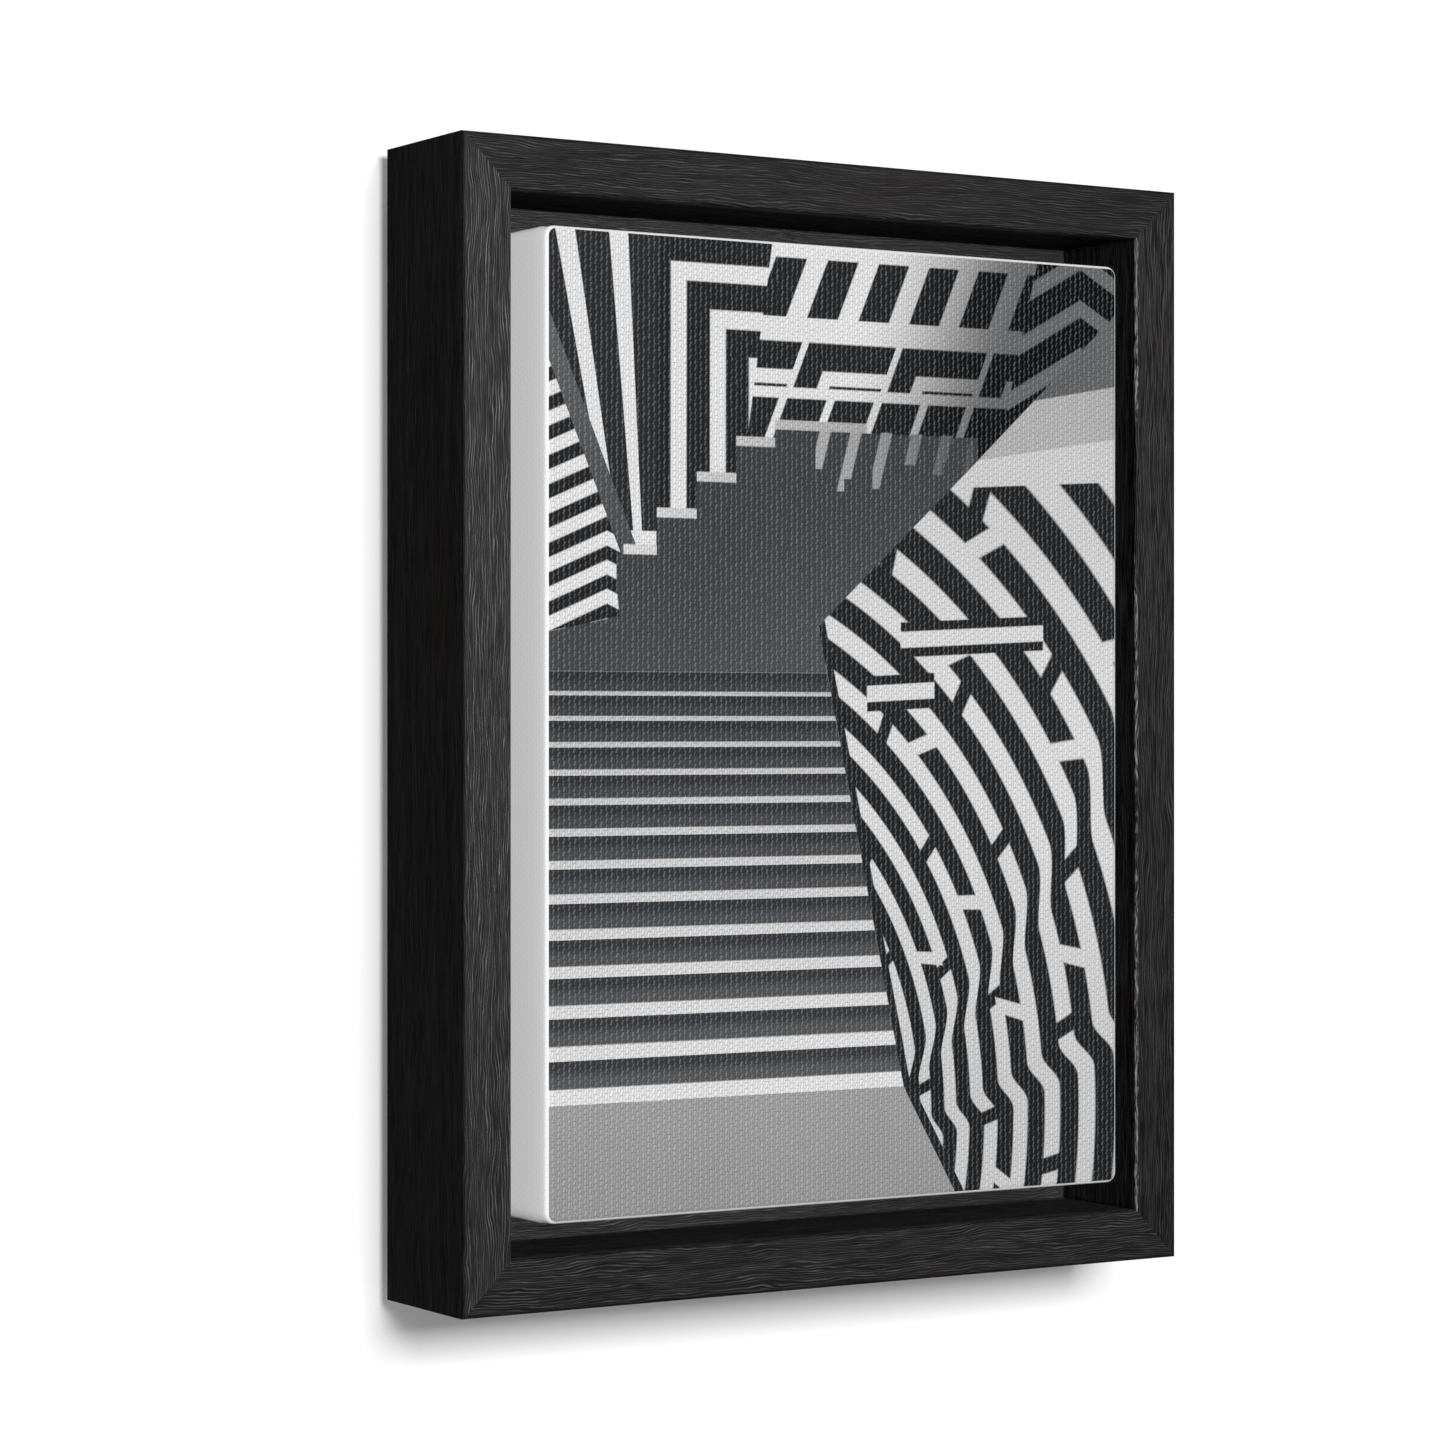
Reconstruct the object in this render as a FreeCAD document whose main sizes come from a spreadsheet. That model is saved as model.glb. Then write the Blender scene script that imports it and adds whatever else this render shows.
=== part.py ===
import FreeCAD, Part
import os
import re
import Sketcher

# A small gallery-wrapped stretched canvas, screwed into an open-fronted floater frame.
#
# Millimetres. Seen from the front, +X is right and +Z is up; +Y points back, to the wall.
# The origin is the middle of the frame's underside, half way through the frame's depth.
#
# The four frame rails and the four stretcher bars are each drawn lying along X, with the outer
# face on z = 0 and the inner edge at +z, and are then turned about Y to their side of the frame.

SIZES = {
    # the canvas as it is sold
    "canvas_width": 127.0,
    "canvas_height": 177.8,
    "canvas_depth": 25.4,
    # the cloth wrapped round the bars
    "cloth_thick": 0.5,
    "cloth_edge_round": 1.0,
    "cloth_corner_round": 2.0,
    "flap_width": 17.0,
    # the floater frame's L-shaped section
    "float_gap": 6.0,
    "face_width": 9.8,
    "frame_depth": 29.6,
    "ledge_thick": 6.0,
    "ledge_lap": 10.0,
    "front_round": 0.65,
    "back_round": 0.4,
    # the stretcher bars' section, with a bead that holds the cloth off the wood
    "bar_width": 20.0,
    "bead_width": 3.0,
    "bead_height": 2.5,
    "bar_edge_round": 0.5,
    "bar_tip_cut": 1.5,
    # the slots and tongues of the bars' corner joints, in two layers below the bars' back
    "back_layer_deep": 7.0,
    "front_layer_deep": 14.0,
    "slot_thick": 4.0,
    "slot_floor": 6.0,
    "slot_reach": 4.6,
    "tongue_thick": 3.8,
    "tongue_gap": 0.2,
    "tongue_root": 3.0,
    # the wedge keys in those slots
    "key_thick": 3.6,
    "key_slope": 0.17,
    "key_gap": 0.05,
    "key_tip_gap": 0.5,
    "key_stick_out": 12.0,
    # the nails across the frame's mitres
    "v_nail_thick": 0.6,
    "v_nail_proud": 0.15,
    "outer_nail_set_in": 2.2,
    "outer_nail_wing": 6.6,
    "outer_nail_deep": 8.0,
    "inner_nail_set_in": 14.5,
    "inner_nail_wing": 7.0,
    "inner_nail_deep": 4.5,
    # the staples through the cloth's flaps
    "staple_set_in": 13.5,
    "staple_crown": 10.0,
    "staple_wire": 0.6,
    "staple_leg": 4.4,
    "tall_staple_pitch": 28.0,
    "wide_staple_pitch": 24.0,
    # the countersunk screws through the ledge
    "screw_set_in": 20.8,
    "screw_spacing": 100.0,
    "screw_shank_radius": 1.6,
    "screw_long": 15.0,
    "screw_head_radius": 3.3,
    "screw_head_deep": 1.7,
    "screw_head_sunk": 0.2,
    "cross_width": 0.7,
    "cross_length": 3.4,
    "cross_deep": 1.2,
    "clearance_radius": 1.8,
    "countersink_radius": 3.5,
    "pilot_radius": 1.1,
    "pilot_deep": 10.0,
    # the sawtooth hanger and its nails
    "hanger_below_top": 12.9,
    "hanger_length": 45.0,
    "hanger_height": 11.0,
    "hanger_thick": 0.9,
    "hanger_rise": 1.4,
    "hanger_strip": 28.0,
    "hanger_ramp": 2.0,
    "hanger_end_round": 2.0,
    "tooth_pitch": 3.0,
    "tooth_width": 2.6,
    "tooth_deep": 1.8,
    "notch_deep": 2.8,
    "hanger_nail_spacing": 38.0,
    "hanger_nail_gap": 0.05,
    "nail_radius": 0.75,
    "nail_long": 6.4,
    "nail_head_radius": 2.0,
    "nail_head_thick": 0.6,
    # the bumpers that hold the frame's foot off the wall
    "bumper_spacing": 100.0,
    "bumper_radius": 5.0,
    "bumper_thick": 3.0,
    "bumper_round": 0.8,
    # how far a cutting shape runs past what it cuts, and a cut's depth where it goes right through
    "overrun": 1.0,
    "right_through": 100.0,
}

# Places and lengths that follow from the sheet's numbers.
WORKED_OUT = {
    "frame_width": "canvas_width + 2 * float_gap + 2 * face_width",
    "frame_height": "canvas_height + 2 * float_gap + 2 * face_width",
    "rail_width": "face_width + float_gap + ledge_lap",
    "frame_front_y": "-frame_depth / 2",
    "frame_back_y": "frame_depth / 2",
    "ledge_y": "frame_back_y - ledge_thick",
    "canvas_front_y": "ledge_y - canvas_depth",
    "bar_back_y": "ledge_y - cloth_thick",
    "bar_front_y": "canvas_front_y + cloth_thick",
    "wide_bar": "canvas_width - 2 * cloth_thick",
    "tall_bar": "canvas_height - 2 * cloth_thick",
    "bar_set_in": "face_width + float_gap + cloth_thick",
    "slot_end": "bar_width + slot_reach",
    "hanger_z": "frame_height - hanger_below_top",
    "bumper_z": "rail_width / 2",
}

# For each side of the rectangle: the turn about Y that takes a piece there from the bottom, the
# middle of its outer face when that is set in from the frame's outside, and the side that its
# +X end then meets.
SIDES = {
    "bottom": (0, "0", "{}", "right"),
    "right": (-90, "frame_width / 2 - {}", "frame_height / 2", "top"),
    "top": (180, "0", "frame_height - {}", "left"),
    "left": (90, "{} - frame_width / 2", "frame_height / 2", "bottom"),
}
UPRIGHTS = ("left", "right")

COUNTERSINK_DEGREES = 90
STAPLES_UP_A_SIDE = 5
STAPLES_ALONG_AN_END = 4
TEETH_EACH_SIDE_OF_NOTCH = 4

doc = FreeCAD.newDocument("stretched_canvas")
sheet = doc.addObject("Spreadsheet::Sheet", "Sizes")
for row, (size_name, size) in enumerate(SIZES.items(), start=1):
    sheet.set("A%d" % row, size_name)
    sheet.set("B%d" % row, str(size))
    sheet.setAlias("B%d" % row, size_name)
doc.recompute()


def formula(text):
    """Turn the size names in a formula into references to the sheet's cells."""
    def reference(match):
        word = match.group()
        if word in WORKED_OUT:
            return "(" + formula(WORKED_OUT[word]) + ")"
        return "Sizes." + word if word in SIZES else word
    return re.sub("[a-z_]+", reference, text)


def worth(text):
    """The number that a formula comes to now."""
    return float(sheet.evalExpression(formula(text)))


def bind(item, **properties):
    """Tie an object's properties to formulas."""
    for name, text in properties.items():
        item.setExpression(name, formula(text))


def move_to(item, x="0", y="0", z="0", turn=0, about=(0, 1, 0)):
    """Turn an object about an axis through its own origin and tie its place to formulas."""
    item.Placement = FreeCAD.Placement(FreeCAD.Vector(), FreeCAD.Rotation(FreeCAD.Vector(*about), turn))
    for axis, text in zip("xyz", (x, y, z)):
        item.setExpression("Placement.Base." + axis, formula(text))


def move_to_side(item, side, set_in):
    """Put a piece drawn along X on its side of the frame."""
    turn, x, z, _ = SIDES[side]
    move_to(item, x=x.format(set_in), z=z.format(set_in), turn=turn)


# ---- sketches and features ----

def new_body(label):
    body = doc.addObject("PartDesign::Body", label)
    body.Label = label
    return body


def new_sketch(body, name, plane, at="0"):
    """An empty sketch on one of the body's origin planes, moved along the plane's normal."""
    sketch = body.newObject("Sketcher::SketchObject", name)
    support = [item for item in body.Origin.OriginFeatures if item.Role == plane + "_Plane"]
    sketch.AttachmentSupport = [(support[0], "")]
    sketch.MapMode = "FlatFace"
    # the XZ plane's normal is -Y
    sketch.setExpression("AttachmentOffset.Base.z", formula("-(%s)" % at if plane == "XZ" else at))
    return sketch


def pin(sketch, geometry, point, across, up):
    """Hold one point of a sketch at distances from the sketch's origin."""
    for kind, axis, text in (("DistanceX", -2, across), ("DistanceY", -1, up)):
        value = worth(text)
        if abs(value) < 1e-9:
            sketch.addConstraint(Sketcher.Constraint("PointOnObject", geometry, point, axis))
            continue
        ends = (-1, 1, geometry, point) if value > 0 else (geometry, point, -1, 1)
        size = text if value > 0 else "-(%s)" % text
        number = sketch.addConstraint(Sketcher.Constraint(kind, *ends, abs(value)))
        sketch.setExpression("Constraints[%d]" % number, formula(size))


def draw_outline(sketch, corners):
    """A closed outline of straight lines with its corners at (across, up) formulas."""
    first = sketch.GeometryCount
    points = [FreeCAD.Vector(worth(across), worth(up), 0) for across, up in corners]
    for start, end in zip(points, points[1:] + points[:1]):
        sketch.addGeometry(Part.LineSegment(start, end), False)
    for number, (across, up) in enumerate(corners):
        following = first + (number + 1) % len(corners)
        sketch.addConstraint(Sketcher.Constraint("Coincident", first + number, 2, following, 1))
        pin(sketch, first + number, 1, across, up)


def draw_rectangle(sketch, width, height, tip_cut=None):
    """A rectangle round the sketch's origin, with its corners cut off at 45 degrees if asked."""
    corners = []
    for x, z in ((-1, -1), (1, -1), (1, 1), (-1, 1)):
        cuts = ((0, 1), (1, 0)) if x == z else ((1, 0), (0, 1))
        for cut_x, cut_z in cuts if tip_cut else ((0, 0),):
            corners.append((
                "%d * ((%s) / 2 - %d * %s)" % (x, width, cut_x, tip_cut or 0),
                "%d * ((%s) / 2 - %d * %s)" % (z, height, cut_z, tip_cut or 0),
            ))
    draw_outline(sketch, corners)


def draw_circle(sketch, across, up, radius):
    centre = FreeCAD.Vector(worth(across), worth(up), 0)
    circle = sketch.addGeometry(Part.Circle(centre, FreeCAD.Vector(0, 0, 1), worth(radius)), False)
    pin(sketch, circle, 3, across, up)
    number = sketch.addConstraint(Sketcher.Constraint("Radius", circle, worth(radius)))
    sketch.setExpression("Constraints[%d]" % number, formula(radius))


def pad(body, name, sketch, length, symmetric=True, reverse=False):
    feature = body.newObject("PartDesign::Pad", name)
    feature.Profile = sketch
    feature.SideType = "Symmetric" if symmetric else "One side"
    feature.Reversed = reverse
    bind(feature, Length=length)
    doc.recompute()
    return feature


def check_removed(feature, before):
    if feature.Shape.Volume > before - 1e-3:
        raise RuntimeError(feature.Name + " removes nothing")


def pocket(body, name, sketch, length, symmetric=True, reverse=False):
    """Cut a sketch out of the body, and make sure that it took something away."""
    before = body.Shape.Volume
    feature = body.newObject("PartDesign::Pocket", name)
    feature.Profile = sketch
    feature.SideType = "Symmetric" if symmetric else "One side"
    feature.Reversed = reverse
    bind(feature, Length=length)
    doc.recompute()
    check_removed(feature, before)
    return feature


def edges_at(feature, **places):
    """The names of the feature's edges that lie wholly at the given x, y or z."""
    def lies_there(edge):
        box = edge.BoundBox
        reach = {"x": (box.XMin, box.XMax), "y": (box.YMin, box.YMax), "z": (box.ZMin, box.ZMax)}
        return all(abs(end - worth(text)) < 0.01 for axis, text in places.items() for end in reach[axis])
    return ["Edge%d" % number for number, edge in enumerate(feature.Shape.Edges, 1) if lies_there(edge)]


def fillet(body, name, radius, *places):
    """Round the edges of the body's tip that lie at each of the places."""
    base = body.Tip
    edges = [edge for place in places for edge in edges_at(base, **place)]
    feature = body.newObject("PartDesign::Fillet", name)
    feature.Base = (base, edges)
    bind(feature, Radius=radius)
    doc.recompute()
    return feature


# ---- primitives and groups ----

def new_block(name, size, x, y, z):
    """A block with its lowest corner at x, y, z."""
    block = doc.addObject("Part::Box", name)
    bind(block, Length=size[0], Width=size[1], Height=size[2])
    move_to(block, x, y, z)
    return block


def new_rod(name, radius, length, x, y, z):
    """A cylinder that runs towards +Y from x, y, z."""
    rod = doc.addObject("Part::Cylinder", name)
    bind(rod, Radius=radius, Height=length)
    move_to(rod, x, y, z, turn=-90, about=(1, 0, 0))
    return rod


def fused(name, pieces):
    joined = doc.addObject("Part::MultiFuse", name)
    joined.Shapes = pieces
    return joined


def less(name, base, tool):
    cut = doc.addObject("Part::Cut", name)
    cut.Base = base
    cut.Tool = tool
    return cut


def mirrored(source, direction):
    """The source's image on the other side of the frame's middle, along X or Z."""
    image = doc.addObject("Part::Mirroring", source.Name + "_image_" + direction)
    image.Source = source
    image.Normal = FreeCAD.Vector(1, 0, 0) if direction == "x" else FreeCAD.Vector(0, 0, 1)
    image.setExpression("Base.z", formula("frame_height / 2"))
    return image


def group(label, pieces):
    """One node of separate solids."""
    node = doc.addObject("Part::Compound", label)
    node.Label = label
    node.Links = pieces
    return node


# ---- the floater frame ----

def make_rail(side):
    """An L-shaped rail: a deep outer wall whose front edge is the frame's face, and a back ledge."""
    body = new_body("frame_rail_" + side)
    length = "frame_height" if side in UPRIGHTS else "frame_width"
    section = new_sketch(body, body.Name + "_section", "YZ")
    draw_outline(section, [
        ("frame_front_y", "0"),
        ("frame_front_y", "face_width"),
        ("ledge_y", "face_width"),
        ("ledge_y", "rail_width"),
        ("frame_back_y", "rail_width"),
        ("frame_back_y", "0"),
    ])
    pad(body, body.Name + "_length", section, length)
    fillet(body, body.Name + "_face_edges", "front_round",
           {"y": "frame_front_y", "z": "0"}, {"y": "frame_front_y", "z": "face_width"})
    fillet(body, body.Name + "_ledge_edges", "back_round",
           {"y": "ledge_y", "z": "rail_width"}, {"y": "frame_back_y", "z": "0"})
    if side in UPRIGHTS:
        cut_screw_holes(body)
    mitre = new_sketch(body, body.Name + "_mitre_waste", "XZ")
    cut_mitres(mitre, length, "rail_width")
    pocket(body, body.Name + "_mitres", mitre, "2 * frame_depth + 2 * overrun")
    move_to_side(body, side, "0")
    return body


def from_end(length, end, distance):
    """A place along X that lies some distance in from one end of a piece centred on x = 0."""
    return "%d * ((%s) / 2 - (%s))" % (end, length, distance)


def cut_mitres(sketch, length, width):
    """Draw the waste beyond a mitre at both ends of a piece."""
    for end in (1, -1):
        draw_outline(sketch, [
            (from_end(length, end, "-overrun"), "-overrun"),
            (from_end(length, end, "-overrun"), width + " + overrun"),
            (from_end(length, end, width + " + overrun"), width + " + overrun"),
        ])


def cut_screw_holes(body):
    """Two countersunk clearance holes through the ledge, from its back."""
    before = body.Shape.Volume
    centres = new_sketch(body, body.Name + "_screw_centres", "XZ", "frame_back_y")
    for end in (1, -1):
        draw_circle(centres, "%d * screw_spacing / 2" % end, "screw_set_in", "clearance_radius")
    doc.recompute()
    hole = body.newObject("PartDesign::Hole", body.Name + "_screw_holes")
    hole.Profile = centres
    hole.Reversed = True
    hole.DrillPoint = "Flat"
    hole.HoleCutType = "Countersink"
    hole.HoleCutCustomValues = True
    hole.HoleCutCountersinkAngle = COUNTERSINK_DEGREES
    bind(hole, Diameter="2 * clearance_radius", Depth="ledge_thick + overrun",
         HoleCutDiameter="2 * countersink_radius")
    doc.recompute()
    check_removed(hole, before)


def make_v_nails():
    """Two V-nails across the back of each mitre: one in the deep outer wall, one in the ledge."""
    corner = []
    for name in ("outer_nail", "inner_nail"):
        set_in, wing, deep = name + "_set_in", name + "_wing", name + "_deep"
        front = "frame_back_y + v_nail_proud - " + deep
        across = set_in + " - frame_width / 2"
        along = new_block(name + "_along", (wing, deep, "v_nail_thick"), across, front, set_in)
        upright = new_block(name + "_upright", ("v_nail_thick", deep, wing), across, front, set_in)
        corner.append(fused(name, [along, upright]))
    left = corner + [mirrored(nail, "z") for nail in corner]
    return group("corner_v_nails", left + [mirrored(nail, "x") for nail in left])


# ---- the stretcher bars and their keys ----

def make_bar(side):
    """A bar with a raised bead along its front edge and a slot and a tongue at each mitred end."""
    body = new_body("stretcher_bar_" + side)
    length = "tall_bar" if side in UPRIGHTS else "wide_bar"
    section = new_sketch(body, body.Name + "_section", "YZ")
    draw_outline(section, [
        ("bar_front_y", "0"),
        ("bar_front_y", "bead_width"),
        ("bar_front_y + bead_height", "bar_width"),
        ("bar_back_y", "bar_width"),
        ("bar_back_y", "0"),
    ])
    pad(body, body.Name + "_length", section, length)
    fillet(body, body.Name + "_front_edge", "bar_edge_round", {"y": "bar_front_y", "z": "0"})
    mitre = new_sketch(body, body.Name + "_mitre_waste", "XZ")
    cut_mitres(mitre, length, "bar_width")
    pocket(body, body.Name + "_mitres", mitre, "right_through")
    tips = new_sketch(body, body.Name + "_tip_waste", "XZ")
    for end in (1, -1):
        draw_outline(tips, [
            (from_end(length, end, "0"), "0"),
            (from_end(length, end, "bar_tip_cut"), "0"),
            (from_end(length, end, "0"), "bar_tip_cut"),
        ])
    pocket(body, body.Name + "_tips", tips, "right_through")
    for end, slot_layer, tongue_layer in ((1, "back", "front"), (-1, "front", "back")):
        slot = new_sketch(body, "%s_%s_slot_outline" % (body.Name, slot_layer), "XZ", layer_y(slot_layer))
        draw_slot(slot, length, end)
        pocket(body, "%s_%s_slot" % (body.Name, slot_layer), slot, "slot_thick")
        tongue = new_sketch(body, "%s_%s_tongue_outline" % (body.Name, tongue_layer), "XZ",
                            layer_y(tongue_layer))
        draw_tongue(tongue, length, end)
        pad(body, "%s_%s_tongue" % (body.Name, tongue_layer), tongue, "tongue_thick")
    if side in UPRIGHTS:
        pilots = new_sketch(body, body.Name + "_pilot_outline", "XZ", "bar_back_y")
        for end in (1, -1):
            draw_circle(pilots, "%d * screw_spacing / 2" % end, "screw_set_in - bar_set_in", "pilot_radius")
        pocket(body, body.Name + "_pilots", pilots, "pilot_deep", symmetric=False, reverse=True)
    move_to_side(body, side, "bar_set_in")
    return body


def layer_y(layer):
    """The middle of one layer of the corner joints."""
    return "bar_back_y - %s_layer_deep" % layer


def slot_end_at(up):
    """How far from the bar's end the slot's slanted wall lies, at a height above the outer face."""
    return "slot_end + key_slope * (%s - slot_floor)" % up


def draw_slot(sketch, length, end):
    """The slot takes the next bar's tongue, and runs on past the corner to leave room for a key."""
    top = "(bar_width + overrun)"
    draw_outline(sketch, [
        (from_end(length, end, "-overrun"), "slot_floor"),
        (from_end(length, end, "slot_end"), "slot_floor"),
        (from_end(length, end, slot_end_at(top)), top),
        (from_end(length, end, "-overrun"), top),
    ])


def draw_tongue(sketch, length, end):
    """The tongue fills the next bar's slot from its floor to its mouth."""
    tip = "slot_floor + tongue_gap"
    draw_outline(sketch, [
        (from_end(length, end, tip), tip),
        (from_end(length, end, tip + " + tongue_root"), tip),
        (from_end(length, end, "bar_width + tongue_root"), "bar_width"),
        (from_end(length, end, tip), "bar_width"),
    ])


def make_key(side, end):
    """A wedge between a slot's slanted wall and the side of the tongue in it."""
    met_by_next = {met: name for name, (_, _, _, met) in SIDES.items()}
    neighbour = SIDES[side][3] if end > 0 else met_by_next[side]
    body = new_body("key_%s_%s" % (side, neighbour))
    length = "tall_bar" if side in UPRIGHTS else "wide_bar"
    low, high = "(slot_floor + key_tip_gap)", "(bar_width + key_stick_out)"
    outline = new_sketch(body, body.Name + "_outline", "XZ", layer_y("back" if end > 0 else "front"))
    draw_outline(outline, [
        (from_end(length, end, "bar_width + key_gap"), low),
        (from_end(length, end, slot_end_at(low) + " - key_gap"), low),
        (from_end(length, end, slot_end_at(high) + " - key_gap"), high),
        (from_end(length, end, "bar_width + key_gap"), high),
    ])
    pad(body, body.Name + "_thickness", outline, "key_thick")
    move_to_side(body, side, "bar_set_in")
    return body


# ---- the cloth and its staples ----

def make_canvas():
    """The cloth: over the front, round the four sides, and turned in as flaps at the back."""
    body = new_body("canvas")
    front = new_sketch(body, "canvas_outline", "XZ", "canvas_front_y")
    draw_rectangle(front, "canvas_width", "canvas_height")
    pad(body, "canvas_wrap", front, "canvas_depth", symmetric=False, reverse=True)
    corners = [{"x": "%d * canvas_width / 2" % x, "z": "%d * canvas_height / 2" % z}
               for x in (1, -1) for z in (1, -1)]
    fillet(body, "canvas_corners", "cloth_corner_round", *corners)
    fillet(body, "canvas_front_edge", "cloth_edge_round", {"y": "canvas_front_y"})
    opening = new_sketch(body, "canvas_opening_outline", "XZ", "ledge_y")
    draw_rectangle(opening, "canvas_width - 2 * flap_width", "canvas_height - 2 * flap_width")
    pocket(body, "canvas_opening", opening, "canvas_depth - cloth_thick", symmetric=False, reverse=True)
    inside = new_sketch(body, "canvas_inside_outline", "XZ", "bar_back_y")
    draw_rectangle(inside, "wide_bar", "tall_bar", tip_cut="bar_tip_cut")
    pocket(body, "canvas_inside", inside, "bar_back_y - bar_front_y", symmetric=False, reverse=True)
    move_to(body, z="frame_height / 2")
    return body


def make_staple(name, x, z, upright):
    """A staple with its crown on the flap and its two legs in the bar."""
    wire, crown = "staple_wire", "staple_crown"
    size = (wire, wire, crown) if upright else (crown, wire, wire)
    low_x = "%s - %s / 2" % (x, size[0])
    low_z = "%s - %s / 2" % (z, size[2])
    pieces = [new_block(name + "_crown", size, low_x, "ledge_y", low_z)]
    for number, shift in enumerate(("0", "staple_crown - staple_wire")):
        leg_x = low_x if upright else "%s + %s" % (low_x, shift)
        leg_z = "%s + %s" % (low_z, shift) if upright else low_z
        leg = new_block("%s_leg_%d" % (name, number), (wire, "staple_leg + staple_wire", wire),
                        leg_x, "ledge_y - staple_leg", leg_z)
        pieces.append(leg)
    return fused(name, pieces)


def places_about_middle(count):
    """Evenly spaced places one apart, centred on zero."""
    return [number - (count - 1) / 2 for number in range(count)]


def make_staples():
    side_x = "staple_set_in - canvas_width / 2"
    foot_z = "face_width + float_gap + staple_set_in"
    tall = [make_staple("side_staple_%d" % number, side_x,
                        "frame_height / 2 + %s * tall_staple_pitch" % place, True)
            for number, place in enumerate(places_about_middle(STAPLES_UP_A_SIDE))]
    wide = [make_staple("foot_staple_%d" % number, "%s * wide_staple_pitch" % place, foot_z, False)
            for number, place in enumerate(places_about_middle(STAPLES_ALONG_AN_END))]
    images = [mirrored(staple, "x") for staple in tall] + [mirrored(staple, "z") for staple in wide]
    return group("canvas_staples", tall + wide + images)


# ---- the fasteners, the hanger and the bumpers ----

def make_screws():
    """Four cross-head screws through the ledge and the flap into the upright bars."""
    x = "screw_set_in - frame_width / 2"
    z = "frame_height / 2 - screw_spacing / 2"
    head_y = "(frame_back_y - screw_head_sunk)"
    shank = new_rod("screw_shank", "screw_shank_radius", "screw_long", x, head_y + " - screw_long", z)
    head = doc.addObject("Part::Cone", "screw_head")
    bind(head, Radius1="screw_shank_radius", Radius2="screw_head_radius", Height="screw_head_deep")
    move_to(head, x, head_y + " - screw_head_deep", z, turn=-90, about=(1, 0, 0))
    slots = []
    for name, size in (("level", ("cross_length", "cross_deep", "cross_width")),
                       ("upright", ("cross_width", "cross_deep", "cross_length"))):
        slots.append(new_block("cross_" + name, size, "%s - %s / 2" % (x, size[0]),
                               head_y + " - cross_deep", "%s - %s / 2" % (z, size[2])))
    lower = less("screw", fused("screw_blank", [shank, head]), fused("screw_cross", slots))
    left = [lower, mirrored(lower, "z")]
    return group("mounting_screws", left + [mirrored(screw, "x") for screw in left])


def make_hanger():
    """A pressed plate: flat ends nailed to the rail, and a raised strip with teeth to hang it by."""
    body = new_body("sawtooth_hanger")
    half, strip = "hanger_length / 2", "hanger_strip / 2"
    top = "hanger_rise + hanger_thick"
    section = new_sketch(body, "hanger_section", "XY")
    draw_outline(section, [
        ("-" + half, "0"),
        ("-%s - hanger_ramp" % strip, "0"),
        ("-" + strip, "hanger_rise"),
        (strip, "hanger_rise"),
        (strip + " + hanger_ramp", "0"),
        (half, "0"),
        (half, "hanger_thick"),
        (strip + " + hanger_ramp", "hanger_thick"),
        (strip, top),
        ("-" + strip, top),
        ("-%s - hanger_ramp" % strip, "hanger_thick"),
        ("-" + half, "hanger_thick"),
    ])
    pad(body, "hanger_plate", section, "hanger_height")
    corners = [{"x": "%d * hanger_length / 2" % x, "z": "%d * hanger_height / 2" % z}
               for x in (1, -1) for z in (1, -1)]
    fillet(body, "hanger_ends", "hanger_end_round", *corners)
    teeth = new_sketch(body, "hanger_teeth_outline", "XZ")
    low = "-hanger_height / 2"
    for number in range(-TEETH_EACH_SIDE_OF_NOTCH, TEETH_EACH_SIDE_OF_NOTCH + 1):
        middle = "%d * tooth_pitch" % number
        deep = "tooth_deep" if number else "notch_deep"
        draw_outline(teeth, [
            (middle + " - tooth_width / 2", low),
            (middle + " + tooth_width / 2", low),
            (middle, "%s + %s" % (low, deep)),
        ])
    pocket(body, "hanger_teeth", teeth, "right_through")
    holes = new_sketch(body, "hanger_hole_outline", "XZ")
    for end in (1, -1):
        draw_circle(holes, "%d * hanger_nail_spacing / 2" % end, "0", "nail_radius + hanger_nail_gap")
    pocket(body, "hanger_holes", holes, "right_through")
    move_to(body, y="frame_back_y", z="hanger_z")
    return body


def make_hanger_nails():
    x, plate_y = "-hanger_nail_spacing / 2", "(frame_back_y + hanger_thick)"
    shank = new_rod("nail_shank", "nail_radius", "nail_long", x, plate_y + " - nail_long", "hanger_z")
    head = new_rod("nail_head", "nail_head_radius", "nail_head_thick", x, plate_y, "hanger_z")
    nail = fused("hanger_nail", [shank, head])
    return group("hanger_nails", [nail, mirrored(nail, "x")])


def make_bumpers():
    disc = new_rod("bumper_disc", "bumper_radius", "bumper_thick", "-bumper_spacing / 2", "frame_back_y",
                   "bumper_z")
    doc.recompute()
    bumper = doc.addObject("Part::Fillet", "bumper")
    bumper.Base = disc
    rear_edges = edges_at(disc, y="frame_back_y + bumper_thick")
    radius = worth("bumper_round")
    bumper.Edges = [(int(edge[len("Edge"):]), radius, radius) for edge in rear_edges]
    return group("wall_bumpers", [bumper, mirrored(bumper, "x")])


nodes = [make_rail(side) for side in SIDES]
nodes.append(make_v_nails())
nodes += [make_bar(side) for side in SIDES]
nodes += [make_key(side, end) for side in SIDES for end in (1, -1)]
nodes += [make_canvas(), make_staples(), make_screws(), make_hanger(), make_hanger_nails(), make_bumpers()]
doc.recompute()

faults = [item.Name for item in doc.Objects if "Invalid" in item.State or "Error" in item.State]
faults += [node.Label for node in nodes if node.Shape.isNull() or not node.Shape.isValid()]
if faults:
    raise RuntimeError("not sound: " + ", ".join(faults))

os.makedirs("parts", exist_ok=True)
for node in nodes:
    node.Shape.exportStep("parts/%s.step" % node.Label)
    box = node.Shape.BoundBox
    print("%-22s %2d solids %9.1f mm3  x %.2f..%.2f  y %.2f..%.2f  z %.2f..%.2f" % (
        node.Label, len(node.Shape.Solids), node.Shape.Volume,
        box.XMin, box.XMax, box.YMin, box.YMax, box.ZMin, box.ZMax))
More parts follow.
